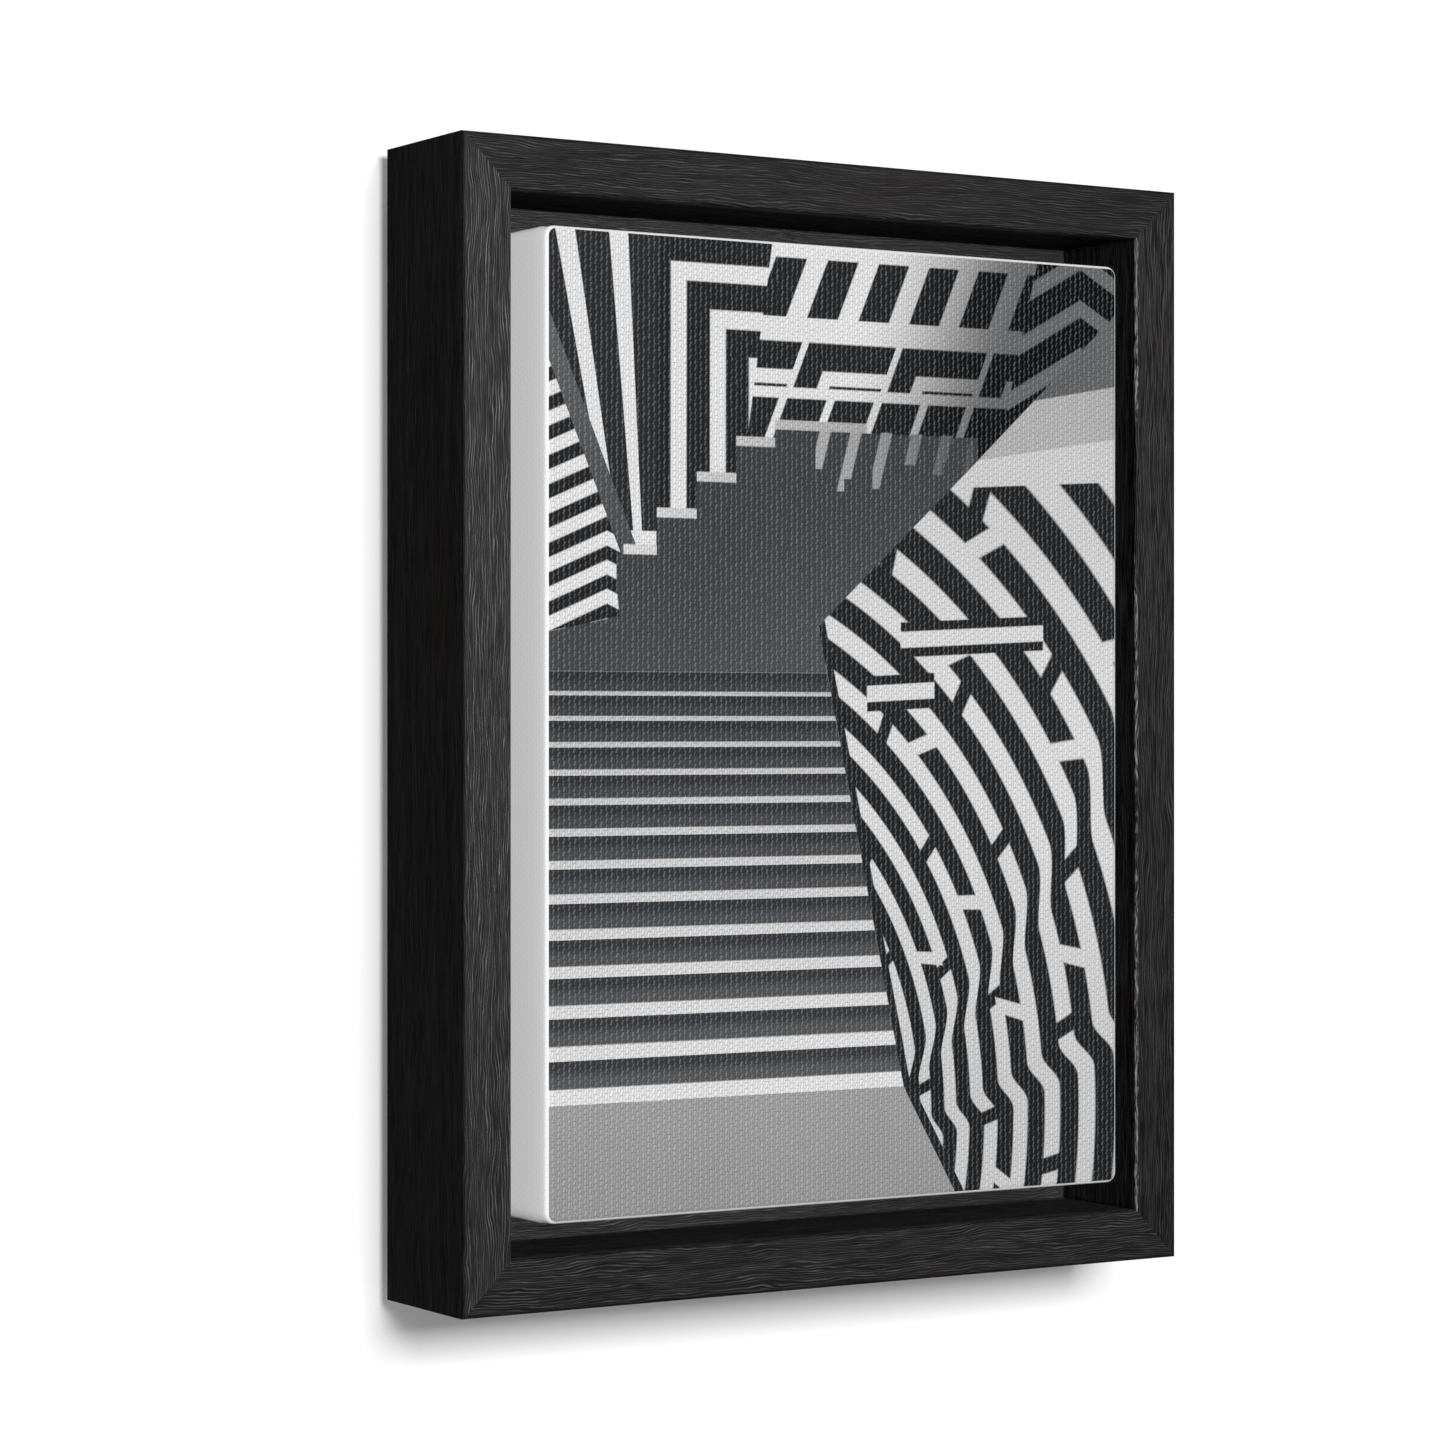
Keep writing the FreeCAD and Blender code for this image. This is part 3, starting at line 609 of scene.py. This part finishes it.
def make_canvas(front_material, reverse_material):
    """One cloth: the front, the four wrapped sides, and flaps turned in at the back with mitred folds."""
    half_x, half_z = CLOTH_WIDTH / 2 - EDGE_ROUND, CLOTH_HEIGHT / 2 - EDGE_ROUND
    columns, rows = grid_places(half_x), grid_places(half_z)
    grid_x, grid_z = np.meshgrid(columns, rows)
    x, z = round_corners(grid_x, grid_z, half_x, half_z, CORNER_ROUND - EDGE_ROUND)
    nz, nx = x.shape
    from_edge = np.minimum(half_x - np.abs(grid_x), half_z - np.abs(grid_z))
    slack = smooth_step(from_edge, 0, 18 * MM)
    front_y = CANVAS_LOW.y + slack * SLACK * (1 + lattice_noise(x / (40 * MM), z / (40 * MM), 7))
    points = [np.stack([x, front_y, z], -1).reshape(-1, 3)]
    flat = [np.stack([x, z, np.zeros_like(x)], -1).reshape(-1, 3)]
    index = np.arange(nz * nx).reshape(nz, nx)
    faces = grid_faces(index)

    # the rim's points in order, and the way out from each
    loop = np.concatenate([index[0, :-1], index[:-1, -1], index[-1, :0:-1], index[:0:-1, 0]])
    loop_x, loop_z = x.reshape(-1)[loop], z.reshape(-1)[loop]
    square_z = grid_z.reshape(-1)[loop]
    corner = CORNER_ROUND - EDGE_ROUND
    out_x = loop_x - np.sign(loop_x) * np.minimum(np.abs(loop_x), half_x - corner)
    out_z = loop_z - np.sign(loop_z) * np.minimum(np.abs(loop_z), half_z - corner)
    size = np.hypot(out_x, out_z)
    out_x, out_z = out_x / size, out_z / size
    on_end = np.abs(square_z) >= half_z - 1e-9

    start = nz * nx
    previous = loop
    along_end = np.where(on_end, np.abs(loop_x), np.abs(loop_z))
    half_along = np.where(on_end, half_x, half_z)
    from_corner = half_along + EDGE_ROUND - along_end
    for outward, deep, travelled in wrap_steps():
        # on the two ends, spare cloth is folded under in a slanting pleat at each corner
        in_fold = on_end * smooth_step(0.85 * (deep - 1.5 * MM) - from_corner, 0, 0.7 * MM)
        in_fold = in_fold * smooth_step(from_corner, 0.2 * MM, 2.0 * MM)
        proud = FOLD_PROUD * in_fold * (1.0 if deep < CLOTH_DEPTH - 1.5 * MM else 0.0)
        reach = outward + proud
        if outward >= 0:
            px, pz = loop_x + out_x * reach, loop_z + out_z * reach
        else:
            inset_x, inset_z = half_x + outward, half_z + outward
            px = np.clip(loop_x * inset_x / half_x, -inset_x, inset_x)
            pz = np.clip(loop_z * inset_z / half_z, -inset_z, inset_z)
        py = np.full_like(px, CANVAS_LOW.y + deep)
        points.append(np.stack([px, py, pz], -1))
        fx, fz = loop_x + out_x * travelled, loop_z + out_z * travelled
        if outward < 0:
            fx = np.where(on_end, px, np.sign(loop_x) * (half_x + travelled))
            fz = np.where(on_end, np.sign(loop_z) * (half_z + travelled), pz)
        flat.append(np.stack([fx, fz, np.full_like(fx, travelled)], -1))
        ring = start + np.arange(len(loop))
        start += len(loop)
        faces += np.stack([previous, ring, np.roll(ring, -1), np.roll(previous, -1)], -1).tolist()
        previous = ring
    points = np.concatenate(points)
    points[:, 2] += CENTRE_Z
    piece = new_piece("canvas_cloth", points, faces, [front_material, reverse_material])
    set_vectors(piece, "cloth", np.concatenate(flat))
    body = piece.modifiers.new("cloth_body", "SOLIDIFY")
    body.thickness = CLOTH_THICK
    body.offset = -1
    body.material_offset = 1
    body.material_offset_rim = 1
    apply_modifiers(piece)
    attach(piece, BODY)
    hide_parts("canvas")
    return piece


def weave(paint, across, up):
    """A plain weave's height from 0 to 1, its upright threads' crests, and the gaps between stitches."""
    wander_x = (paint.noise(across / 2.2, up / 2.2, 2.0) - 0.5) * 0.7
    wander_z = (paint.noise(across / 2.2, up / 2.2, 8.0) - 0.5) * 0.7
    column = (across + wander_x) / (WEAVE_PERIOD / MM)
    stitch = (up + wander_z) / (STITCH_PERIOD / MM) + (column.floor() * 0.5).part()
    aside, along = column.part() - 0.5, stitch.part() - 0.5
    off_crest = abs(aside - 0.7 * along * (0.6 - 2.0 * along * along))
    seam = paint.smooth(abs(along), 0.38, 0.50)
    upright = paint.smooth(off_crest, 0.34, 0.05) * (1.0 - 0.75 * seam)
    level = paint.smooth(abs(aside), 0.22, 0.48) * (1.0 - 4.0 * along * along)
    crest = paint.smooth(off_crest, 0.24, 0.06) * (1.0 - seam)
    gap = paint.smooth(abs(along), 0.40, 0.47) * paint.smooth(abs(aside + 0.06), 0.46, 0.34)
    return paint.most(upright, level * 0.8), crest, gap


def stripes(paint, value, period, share, soft=0.0025):
    """1 on stripes that take that share of each period."""
    phase = (value / period).part()
    return paint.above((share / 2 - abs(phase - 0.5)) * period, soft)


def print_far_wall(paint, p, q):
    """Rows of leaning bars and nested corners over the landing, darker towards the right."""
    above, over = paint.above, paint.over
    lean = p - 0.42 * (q - 1.30)
    bars = stripes(paint, lean + 0.030, 0.090, 0.60) * above(q - 1.292) * above(1.378 - q)
    wall = over(PRINT_WHITE, PRINT_DARK, bars)
    cell = (lean / 0.165 + 0.30).part() * 0.165
    corner = paint.least(cell, 1.268 - q)
    second = over(PRINT_DARK, PRINT_WHITE, stripes(paint, corner + 0.030, 0.062, 0.34))
    wall = over(wall, second, above(1.268 - q))
    third = over(PRINT_DARK, PRINT_WHITE, stripes(paint, lean + 0.01, 0.083, 0.17))
    wall = over(wall, third, above(1.180 - q))
    wall = over(wall, PRINT_WHITE, above(1.190 - q) * above(q - 1.174))

    near = paint.least(p - 0.172, 1.392 - q)
    nested = over(PRINT_WHITE, PRINT_DARK, stripes(paint, near + 0.022, 0.066, 0.60))
    wall = over(wall, nested, above(0.345 - p + 0.15 * (q - 1.2)))
    bend = q + 0.55 * abs(p - 0.93)
    chevron = over(PRINT_DARK, PRINT_WHITE, stripes(paint, bend, 0.072, 0.36))
    wall = over(wall, chevron, above(p - 0.80 - 0.25 * (q - 1.2)))
    shade = 1.0 - 0.82 * paint.smooth(p - 0.3 * (q - 1.2), 0.48, 0.78)
    return wall * shade


def print_left_wall(paint, p, q):
    """A fan of stripes that meet low down, a grey return, and a box with folded stripes: (grey, where)."""
    above, over = paint.above, paint.over
    turn = paint.math("ARCTAN2", p - 0.175, q - 0.62)
    fan = over(PRINT_DARK * 1.5, PRINT_WHITE, stripes(paint, turn + 0.020, 0.110, 0.36))
    fan = over(fan, PRINT_WHITE, above(0.010 - abs(0.965 - q)) * above(p - 0.11))
    on_fan = above(0.012 - turn) * above(q - 0.93)
    slope = 1.22 - 2.3 * p - q
    plain_return = 0.07 + 0.16 * (q - 0.95)
    grey = over(fan, plain_return, above(slope + 0.07))
    fold = q + 0.42 * abs(p - 0.098)
    folded = over(PRINT_DARK, PRINT_WHITE, stripes(paint, fold, 0.041, 0.50))
    grey = over(grey, folded, above(slope))
    on_box = above(slope + 0.07) * above(0.128 - p + 0.10 * (q - 0.9)) * above(q - 0.83 - 0.2 * p)
    return grey, paint.most(on_fan, on_box)


def print_right_wall(paint, p, q):
    """Arcs about one centre, wider apart to the right, that step across to one another on slanting lines,
    with two level bars over them."""
    above, over = paint.above, paint.over
    dx, dz = p - 0.13, (q - 0.12) * 0.92
    spread = paint.math("LOGARITHM", dx * dx + dz * dz, math.e) * 0.5
    sweep = paint.math("ARCTAN2", dz, dx)
    step = 0.083
    jog = 0.0
    for start, tilt, share, turn in ((0.16, 0.30, 0.5, 0.040), (0.52, 0.55, -0.5, 0.045)):
        jog = jog + share * step * paint.smooth(sweep - tilt * spread, start - turn, start + turn)
    ring = (spread + jog) / step
    arcs = stripes(paint, spread + jog, step, 0.46, 0.004)
    scatter = (ring.floor() * 0.618).part()
    ends = stripes(paint, sweep + scatter * 0.62 - 0.3 * spread, 0.62, 0.05, 0.004)
    between = ((ring + 0.5).floor() * 0.382).part()
    rungs = stripes(paint, sweep + between * 0.60 + 0.5 * spread, 0.60, 0.055, 0.004) * above(0.70 - between)
    pattern = paint.most(arcs * (1.0 - ends), rungs)
    for left, right, level in ((0.60, 0.86, 0.825), (0.54, 0.66, 0.745)):
        off = abs(q - level - 0.05 * (p - left))
        inside = above(p - left) * above(right - p)
        pattern = pattern * (1.0 - inside * above(0.026 - off)) + inside * above(0.012 - off)
    return over(PRINT_DARK, PRINT_WHITE, pattern)


def print_stairs(paint, q, foot, top):
    """Thirteen steps, smaller with distance, each with a pale nosing, a mid tread and a dark riser."""
    above, over = paint.above, paint.over
    shrink, count = 0.95, 13
    height = (q - foot) / (top - foot)
    reached = height * (1 - shrink ** count)
    place = paint.math("LOGARITHM", paint.most(1.0 - reached, 0.05), shrink).part()
    far = height.held()
    riser = over(0.044, 0.032, far)
    tread = over(0.100, 0.050, far)
    stair = over(riser, tread, above(0.70 - 0.10 * far - place, 0.25))
    return over(stair, over(0.76, 0.50, far), above(0.37 - 0.20 * far - place, 0.04))


def printed_scene(paint, p, q):
    """The print's grey, from its own layout of stairs, a landing and striped walls. p goes across and q up,
    both in canvas widths, and so are the bare numbers of these functions."""
    above, over = paint.above, paint.over
    foot, top = 0.165, 0.775
    flank = 0.605 - 0.135 * (q - foot) / (top - foot)
    crease = q - 0.835 - 0.88 * (p - 0.445)
    under = q - 1.095 - 0.16 * (p - 0.74)

    grey = print_far_wall(paint, p, q)
    left, on_left = print_left_wall(paint, p, q)
    grey = over(grey, left, on_left)

    # the landing, whose far edge goes up in steps with a pale line along it, and some bars hanging over it
    rise = paint.least(((p + 0.02) * 15).floor() / 15 * 0.80 + 0.835, 1.128)
    fall = 1.56 - ((p + 0.01) * 12).floor() / 12 * 0.62
    edge = paint.least(rise, fall)
    on_landing = above(edge - q) * above(p - 0.125 + 0.12 * (q - 0.8))
    depth = 0.050 + 0.036 * paint.smooth(q - 0.3 * p, 0.95, 0.55)
    outline = above(edge + 0.014 - q) * above(0.54 - p) * above(p - 0.125)
    grey = over(grey, over(PRINT_WHITE, 0.35, (p / 0.6).held()), outline)
    near_end = above(0.83 + 0.2 * p - q) * above(0.135 - p)
    grey = over(grey, depth, paint.most(on_landing, near_end))
    hanging = stripes(paint, p - 0.28 * (q - 1.1), 0.054, 0.36) * above(p - 0.45) * above(0.73 - p)
    hanging = hanging * above(1.130 - q) * above(q - 1.040 - 0.05 * ((p * 40).floor() * 0.37).part())
    grey = over(grey, over(0.40, 0.08, paint.smooth(p, 0.45, 0.74)), hanging)

    # a sloping soffit in two greys at the top right
    slope = q - 1.095 - 0.90 * (p - 0.74)
    soffit = above(p - 0.735) * above(-slope)
    grey = over(grey, 0.085 + 0.20 * (p - 0.74), soffit)
    grey = over(grey, 0.44, soffit * above(0.075 + 0.02 * (p - 0.74) - under))

    pattern = over(print_right_wall(paint, p, q), PRINT_WHITE, above(under + 0.040 + 0.10 * (p - 0.74)))
    pattern = pattern * over(over(0.80, 0.95, paint.smooth(q, 0.1, 0.6)), 0.80, paint.smooth(q, 0.7, 1.15))
    wall_foot = q - foot + (p - 0.605) * 1.75
    on_wall = above(p - flank) * above(-crease) * above(-under) * above(wall_foot)
    grey = over(grey, pattern, on_wall)
    grey = over(grey, PRINT_DARK, on_wall * paint.most(above(0.013 - (p - flank)), above(0.030 - wall_foot)))

    grey = over(grey, print_stairs(paint, q, foot, top), above(flank - p) * above(top - q) * above(q - foot))
    on_floor = above(foot - q) * above(-wall_foot)
    return over(grey, 0.30 + 0.22 * q + 0.02 * p, on_floor)


def primed_front():
    """Primed cotton with a matt print on its front and bare primer on its edges and sides, with painted
    highlight on the threads' tops and painted shade in the weave's gaps and low places.
    """
    paint = Paint("printed_canvas")
    across, up, wrapped = paint.axes("cloth")
    height, crest, gap = weave(paint, across, up)
    fibre = paint.noise(across / 0.16, up / 0.5, 3.0, detail=2.0)
    patchy = paint.smooth(paint.noise(across / 1.1, up / 1.1, 6.0, detail=2.0), 0.30, 0.62)
    width = CLOTH_WIDTH / MM
    p, q = across / width + 0.5, up / width + 0.5 * CLOTH_HEIGHT / CLOTH_WIDTH
    grey = printed_scene(paint, p, q) * (0.95 + 0.10 * paint.noise(across / 22, up / 22, 4.0))

    # painted highlight on the tops of the threads, strongest on dark ink, and painted shade in the gaps
    # between stitches and in the weave's low places
    ink_and_weave_light = grey + (0.35 - 0.35 * grey) * 0.26 * crest * (0.25 + 0.75 * patchy)
    ink_and_weave_light = ink_and_weave_light * (1.0 - 0.24 * gap * patchy - 0.14 * (1.0 - height)) * (0.95 + 0.10 * fibre)
    half_x = (CLOTH_WIDTH / 2 - PRINT_MARGIN) / MM
    half_z = (CLOTH_HEIGHT / 2 - PRINT_MARGIN) / MM
    printed = paint.above(paint.least(half_x - abs(across), half_z - abs(up)), 0.15)
    printed = printed * paint.above(PRINT_WRAP / MM - wrapped, 0.15)
    # Bare primer, with painted shade in the gaps between stitches.
    primer = PRIMER_WHITE * (1.0 - 0.05 * gap + 0.02 * (fibre - 0.5))
    value = paint.over(primer, ink_and_weave_light, printed)
    cool = paint.smooth(value, 0.20, 0.0) * 0.10
    tint = paint.node("CombineColor", {
        "Red": value * (1.0 - cool), "Green": value, "Blue": value * (1.0 + cool)})
    relief = paint.bump(height * 0.8 + 0.15 * fibre, WEAVE_BUMP, 0.20 + 0.80 * printed)
    return paint.surface(Wire(paint, tint.outputs[0]), 0.70, relief, gloss=0.06)


def bare_reverse():
    """The cloth's back: unprimed cotton duck with seed flecks, and painted light and shade on its weave."""
    paint = Paint("bare_cotton")
    across, up, _ = paint.axes("cloth")
    height, _, _ = weave(paint, across, up)
    fibre = paint.noise(across / 0.15, up / 0.4, 3.0, detail=3.0)
    slub = paint.noise(across / 0.7, up / 8, 6.0, detail=2.0)
    fleck = paint.smooth(paint.noise(across / 0.5, up / 0.5, 12.0, detail=1.0), 0.73, 0.79)
    # Thread tops painted paler and the weave's low places darker, as painted light and shade, with fibre and
    # slub tone.
    shade = (0.25 + 0.6 * height + 0.3 * (fibre - 0.5) + 0.5 * (slub - 0.5)).held()
    colour = paint.blend((0.36, 0.29, 0.20), (0.66, 0.58, 0.45), shade)
    colour = paint.blend(colour, (0.16, 0.10, 0.05), fleck * 0.8)
    return paint.surface(colour, 0.9, paint.bump(height + 0.3 * fibre, WEAVE_BUMP), gloss=0.15)


# ---- the wood and metal inside and behind ----

def light_wood(name, grain_axis, early, late, ring, heart, seed):
    """Sawn wood with growth rings round a heart line outside the piece, and fine fibres along the grain."""
    paint = Paint(name)
    x, y, z = paint.axes()
    run, side = (x, z) if grain_axis == "x" else (z, x)
    bow = (paint.noise(run / 90, seed, y / 60) - 0.5) * 9.0
    from_heart = paint.math("SQRT", (side - heart[0] + bow) ** 2.0 + (y - heart[1]) ** 2.0)
    wobble = (paint.noise(run / 26, side / 7, y / 7 + seed, detail=2.0) - 0.5) * 1.3
    phase = ((from_heart + wobble) / ring).part()
    late_wood = paint.smooth(phase, 0.35, 0.92) * (1.0 - paint.smooth(phase, 0.93, 1.0))
    fibre = paint.noise(run / 9, side / 0.22, y / 0.22, detail=3.0)
    pores = paint.smooth(paint.noise(run / 2.2, side / 0.12, y / 0.12, detail=1.0), 0.66, 0.78)
    tone = paint.noise(run / 60, side / 25, y / 25 + seed)
    share = (0.62 * late_wood + 0.5 * (fibre - 0.5) + 0.25 * (tone - 0.5) + 0.18 * pores).held()
    colour = paint.blend(early, late, share)
    rough = 0.62 + 0.15 * (1.0 - late_wood)
    relief = paint.bump(fibre * 0.7 + 0.3 * late_wood - 0.3 * pores, LIGHT_WOOD_BUMP, 0.7)
    return paint.surface(colour, rough, relief, gloss=0.3)


def metal(name, colour, dull, rough, grain, spangle=0.0, shine=1.0):
    """Metal with rolled streaks, small dents and uneven roughness. Spangle is how strongly zinc's crystals
    show."""
    paint = Paint(name)
    x, y, z = paint.axes()
    streak = paint.noise(x / (8 * grain), y / grain, z / grain, detail=3.0)
    patch = paint.noise(x / 2.5, y / 2.5, z / 2.5, detail=3.0)
    cells = paint.node("TexVoronoi", {"Vector": paint.point(x / 1.6, y / 1.6, z / 1.6), "Scale": 1.0})
    split = paint.node("SeparateColor", {"Color": Wire(paint, cells.outputs["Color"])})
    flower = Wire(paint, split.outputs[0])
    share = (0.5 + 0.8 * (patch - 0.5) + 0.4 * (streak - 0.5) + spangle * (flower - 0.5)).held()
    uneven = rough + 0.22 * (patch - 0.5) + 0.15 * (streak - 0.5) + 0.1 * spangle * flower
    relief = paint.bump(streak * 0.5 + patch * 0.5, METAL_BUMP, 0.6)
    return paint.surface(paint.blend(dull, colour, share), uneven, relief, metal=shine)


def rubber():
    """Black rubber with a fine grain and some dust."""
    paint = Paint("bumper_rubber")
    x, y, z = paint.axes()
    grain = paint.noise(x / 0.18, y / 0.18, z / 0.18, detail=2.0)
    dust = paint.smooth(paint.noise(x / 1.8, y / 1.8, z / 1.8, detail=4.0), 0.52, 0.75)
    colour = paint.blend((0.012, 0.012, 0.013), (0.05, 0.048, 0.045), dust * 0.7)
    return paint.surface(colour, 0.55 + 0.2 * grain, paint.bump(grain, RUBBER_BUMP, 0.7), gloss=0.4)


def soften(node, width):
    """Breaks a CAD node's sharp edges with a small bevel."""
    bevel = node.modifiers.new("broken_edges", "BEVEL")
    bevel.width = width
    bevel.segments = 2
    bevel.limit_method = "ANGLE"
    bevel.angle_limit = math.radians(40)


def dress(names, material, edge=None):
    """Gives CAD nodes a material and, where edge is given, a bevel of that width."""
    for name in names:
        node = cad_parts[name]
        node.data.materials.clear()
        node.data.materials.append(material)
        if edge:
            soften(node, edge)


# The early and late wood's colours.
PINE = ((0.66, 0.47, 0.27), (0.44, 0.22, 0.08))
BEECH = ((0.60, 0.40, 0.24), (0.42, 0.24, 0.12))
# Where each bar's heart line runs, across from the bar's middle and in Y, in mm.
HEARTS = {"bottom": (-26, -30), "right": (31, 24), "top": (22, 33), "left": (-34, -22)}
# The keys by the axis that their grain follows.
KEY_ENDS = {
    "z": ("bottom_right", "bottom_left", "top_left", "top_right"),
    "x": ("right_top", "right_bottom", "left_bottom", "left_top"),
}


def dress_cad_nodes():
    for number, side in enumerate(SIDES):
        axis = "x" if side in ("bottom", "top") else "z"
        low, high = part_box("stretcher_bar_" + side)
        middle = (low + high) / 2 / MM
        across = middle.z if axis == "x" else middle.x
        heart = (across + HEARTS[side][0], HEARTS[side][1])
        pine = light_wood("pine_" + side, axis, *PINE, 2.4 + 0.3 * number, heart, 3.0 * number)
        dress(["stretcher_bar_" + side], pine, 0.3 * MM)
    for number, (axis, ends) in enumerate(KEY_ENDS.items()):
        beech = light_wood("beech_" + axis, axis, *BEECH, 1.5, (18.0, 40.0), 20.0 + number)
        dress(["key_" + end for end in ends], beech, 0.25 * MM)
    zinc = metal("zinc_plate", (0.74, 0.75, 0.76), (0.50, 0.51, 0.52), 0.34, 0.25, spangle=0.7)
    dress(["sawtooth_hanger", "hanger_nails", "corner_v_nails"], zinc, 0.08 * MM)
    staple = metal("staple_wire", (0.80, 0.80, 0.79), (0.55, 0.54, 0.52), 0.30, 0.12)
    dress(["canvas_staples"], staple, 0.08 * MM)
    black = metal("black_screw_steel", (0.060, 0.058, 0.056), (0.022, 0.021, 0.021), 0.38, 0.15, shine=0.8)
    dress(["mounting_screws"], black, 0.06 * MM)
    dress(["wall_bumpers"], rubber())


# ---- floor, wall, light and camera ----

STAGE_REACH = 8.0
FLOOR_Z = -0.25
WALL_GAP = 0.2 * MM


def plain(name, white, one_sided=False):
    """A faintly mottled matt white, which is clear from behind where it is one-sided."""
    paint = Paint(name)
    x, y, z = paint.axes()
    mottle = paint.noise(x / 40, y / 40, z / 40, detail=4.0)
    colour = paint.blend((white * 0.985,) * 3, (white,) * 3, mottle)
    shader = paint.node("BsdfPrincipled", {
        "Base Color": colour, "Roughness": 0.9, "Specular IOR Level": 0.1})
    if one_sided:
        clear = paint.node("BsdfTransparent")
        facing = paint.node("NewGeometry").outputs["Backfacing"]
        mixed = paint.node("MixShader")
        paint.tree.links.new(facing, mixed.inputs[0])
        paint.tree.links.new(shader.outputs[0], mixed.inputs[1])
        paint.tree.links.new(clear.outputs[0], mixed.inputs[2])
        shader = mixed
    return paint.finish(shader)


def make_stage():
    """A pale wall that the frame leans its bumpers on, seen only from the front, and a pale floor."""
    wall_y = cad_box[1][1] + WALL_GAP
    far = STAGE_REACH
    wall = new_piece("wall", [(-far, wall_y, FLOOR_Z), (far, wall_y, FLOOR_Z), (far, wall_y, far),
                              (-far, wall_y, far)],
                     [(0, 1, 2, 3)], [plain("pale_wall", 1.0, one_sided=True)])
    floor = new_piece("floor", [(-far, -far, FLOOR_Z), (far, -far, FLOOR_Z), (far, far, FLOOR_Z),
                                (-far, far, FLOOR_Z)],
                      [(0, 1, 2, 3)], [plain("pale_floor", 0.88)])
    for plane in (wall, floor):
        for kind in ("shadow", "diffuse", "glossy", "transmission"):
            setattr(plane, "visible_" + kind, False)
    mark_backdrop(wall, floor)
    return wall, floor


AMBIENT = 0.24


def make_world():
    """A white background for the camera, and a much weaker white light from all round."""
    world = bpy.data.worlds.new("studio")
    bpy.context.scene.world = world
    world.use_nodes = True
    tree = world.node_tree
    tree.nodes.clear()
    path = tree.nodes.new("ShaderNodeLightPath")
    background = [tree.nodes.new("ShaderNodeBackground") for _ in range(2)]
    for node, strength in zip(background, (AMBIENT, 1.0)):
        node.inputs["Color"].default_value = (1, 1, 1, 1)
        node.inputs["Strength"].default_value = strength
    mixed = tree.nodes.new("ShaderNodeMixShader")
    output = tree.nodes.new("ShaderNodeOutputWorld")
    tree.links.new(path.outputs["Is Camera Ray"], mixed.inputs[0])
    tree.links.new(background[0].outputs[0], mixed.inputs[1])
    tree.links.new(background[1].outputs[0], mixed.inputs[2])
    tree.links.new(mixed.outputs[0], output.inputs["Surface"])


def area_light(name, place, aim, size, power, receivers=None, blockers=None):
    """A soft light, with its width and height. Receivers and blockers, when given, are the only pieces that
    it lights or is stopped by."""
    data = bpy.data.lights.new(name, "AREA")
    data.shape, data.energy = "RECTANGLE", power
    data.size, data.size_y = size
    light = bpy.data.objects.new(name, data)
    light.location = place
    light.rotation_euler = (Vector(aim) - Vector(place)).to_track_quat("-Z", "Y").to_euler()
    bpy.context.scene.collection.objects.link(light)
    for linked, pieces in (("receiver_collection", receivers), ("blocker_collection", blockers)):
        if pieces is not None:
            group = bpy.data.collections.new(name + "_" + linked)
            for piece in pieces:
                group.objects.link(piece)
            setattr(light.light_linking, linked, group)


def away(aim, azimuth, elevation, distance):
    """A point that far from the aim. Azimuth 0 is in front and turns to the right."""
    a, e = math.radians(azimuth), math.radians(elevation)
    way = Vector((math.sin(a) * math.cos(e), -math.cos(a) * math.cos(e), math.sin(e)))
    return Vector(aim) + distance * way


def make_lights(rails, canvas, wall, floor):
    """A broad soft key from the upper front, and lights for one kind of piece each. Those that only the floor
    blocks reach the ledge and the inner walls as well as the outer faces."""
    aim = (0, 0, CENTRE_Z)
    left_rail = [rail for rail in rails if rail.name.endswith("_left")]
    only_floor = [floor]
    area_light("key", away(aim, -6, 14.8, 3.0), aim, (1.20, 0.66), 73)
    area_light("rail_gloss", (0.156, -0.44, 0.145), (-0.03, 0, 0.125), (0.09, 0.34), 1.0, rails, only_floor)
    area_light("left_rail_gloss", (0.10, -0.36, 0.16), (-0.09, 0, 0.13), (0.07, 0.30), 0.3,
               left_rail, only_floor)
    area_light("rails_from_left", away(aim, -62, 8, 1.2), aim, (0.4, 0.4), 3.2, rails, only_floor)
    area_light("rails_from_right", away(aim, 75, 10, 1.4), aim, (0.5, 0.5), 4.0, rails, only_floor)
    area_light("rails_from_behind", away(aim, 158, 18, 1.5), aim, (0.6, 0.6), 9.0, rails, only_floor)
    area_light("canvas_left", away(aim, -78, 4, 1.4), aim, (0.5, 0.5), 9.7, [canvas], [canvas])
    area_light("wall_fill", away(aim, 0, 20, 3.0), aim, (1.0, 1.0), 11, [wall], only_floor)
    area_light("rear_high", away(aim, 172, 52, 1.8), aim, (1.0, 1.0), 30)
    area_light("floor_fill", (0, 0, 14), (0, 0, 0), (9.0, 9.0), 1900, only_floor, only_floor)


CAMERA_PLACE = (-0.4130, -0.6386, 0.1051)
CAMERA_TURN = -31.84
LENS, SENSOR = 100, 36


def make_camera():
    """A level camera at the photo's viewing angle, to the left of the canvas."""
    data = bpy.data.cameras.new("camera")
    data.lens, data.sensor_width = LENS, SENSOR
    data.clip_start, data.clip_end = 0.01, 20
    camera = bpy.data.objects.new("camera", data)
    camera.location = CAMERA_PLACE
    camera.rotation_euler = (math.radians(90), 0, math.radians(CAMERA_TURN))
    bpy.context.scene.collection.objects.link(camera)
    bpy.context.scene.camera = camera


make_camera()
make_rails()
cloth = make_canvas(primed_front(), bare_reverse())
dress_cad_nodes()
wall, floor = make_stage()
make_world()
rails = [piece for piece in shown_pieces() if piece.name.startswith("wood_rail_")]
make_lights(rails, cloth, wall, floor)
bpy.context.scene.view_settings.view_transform = "Standard"
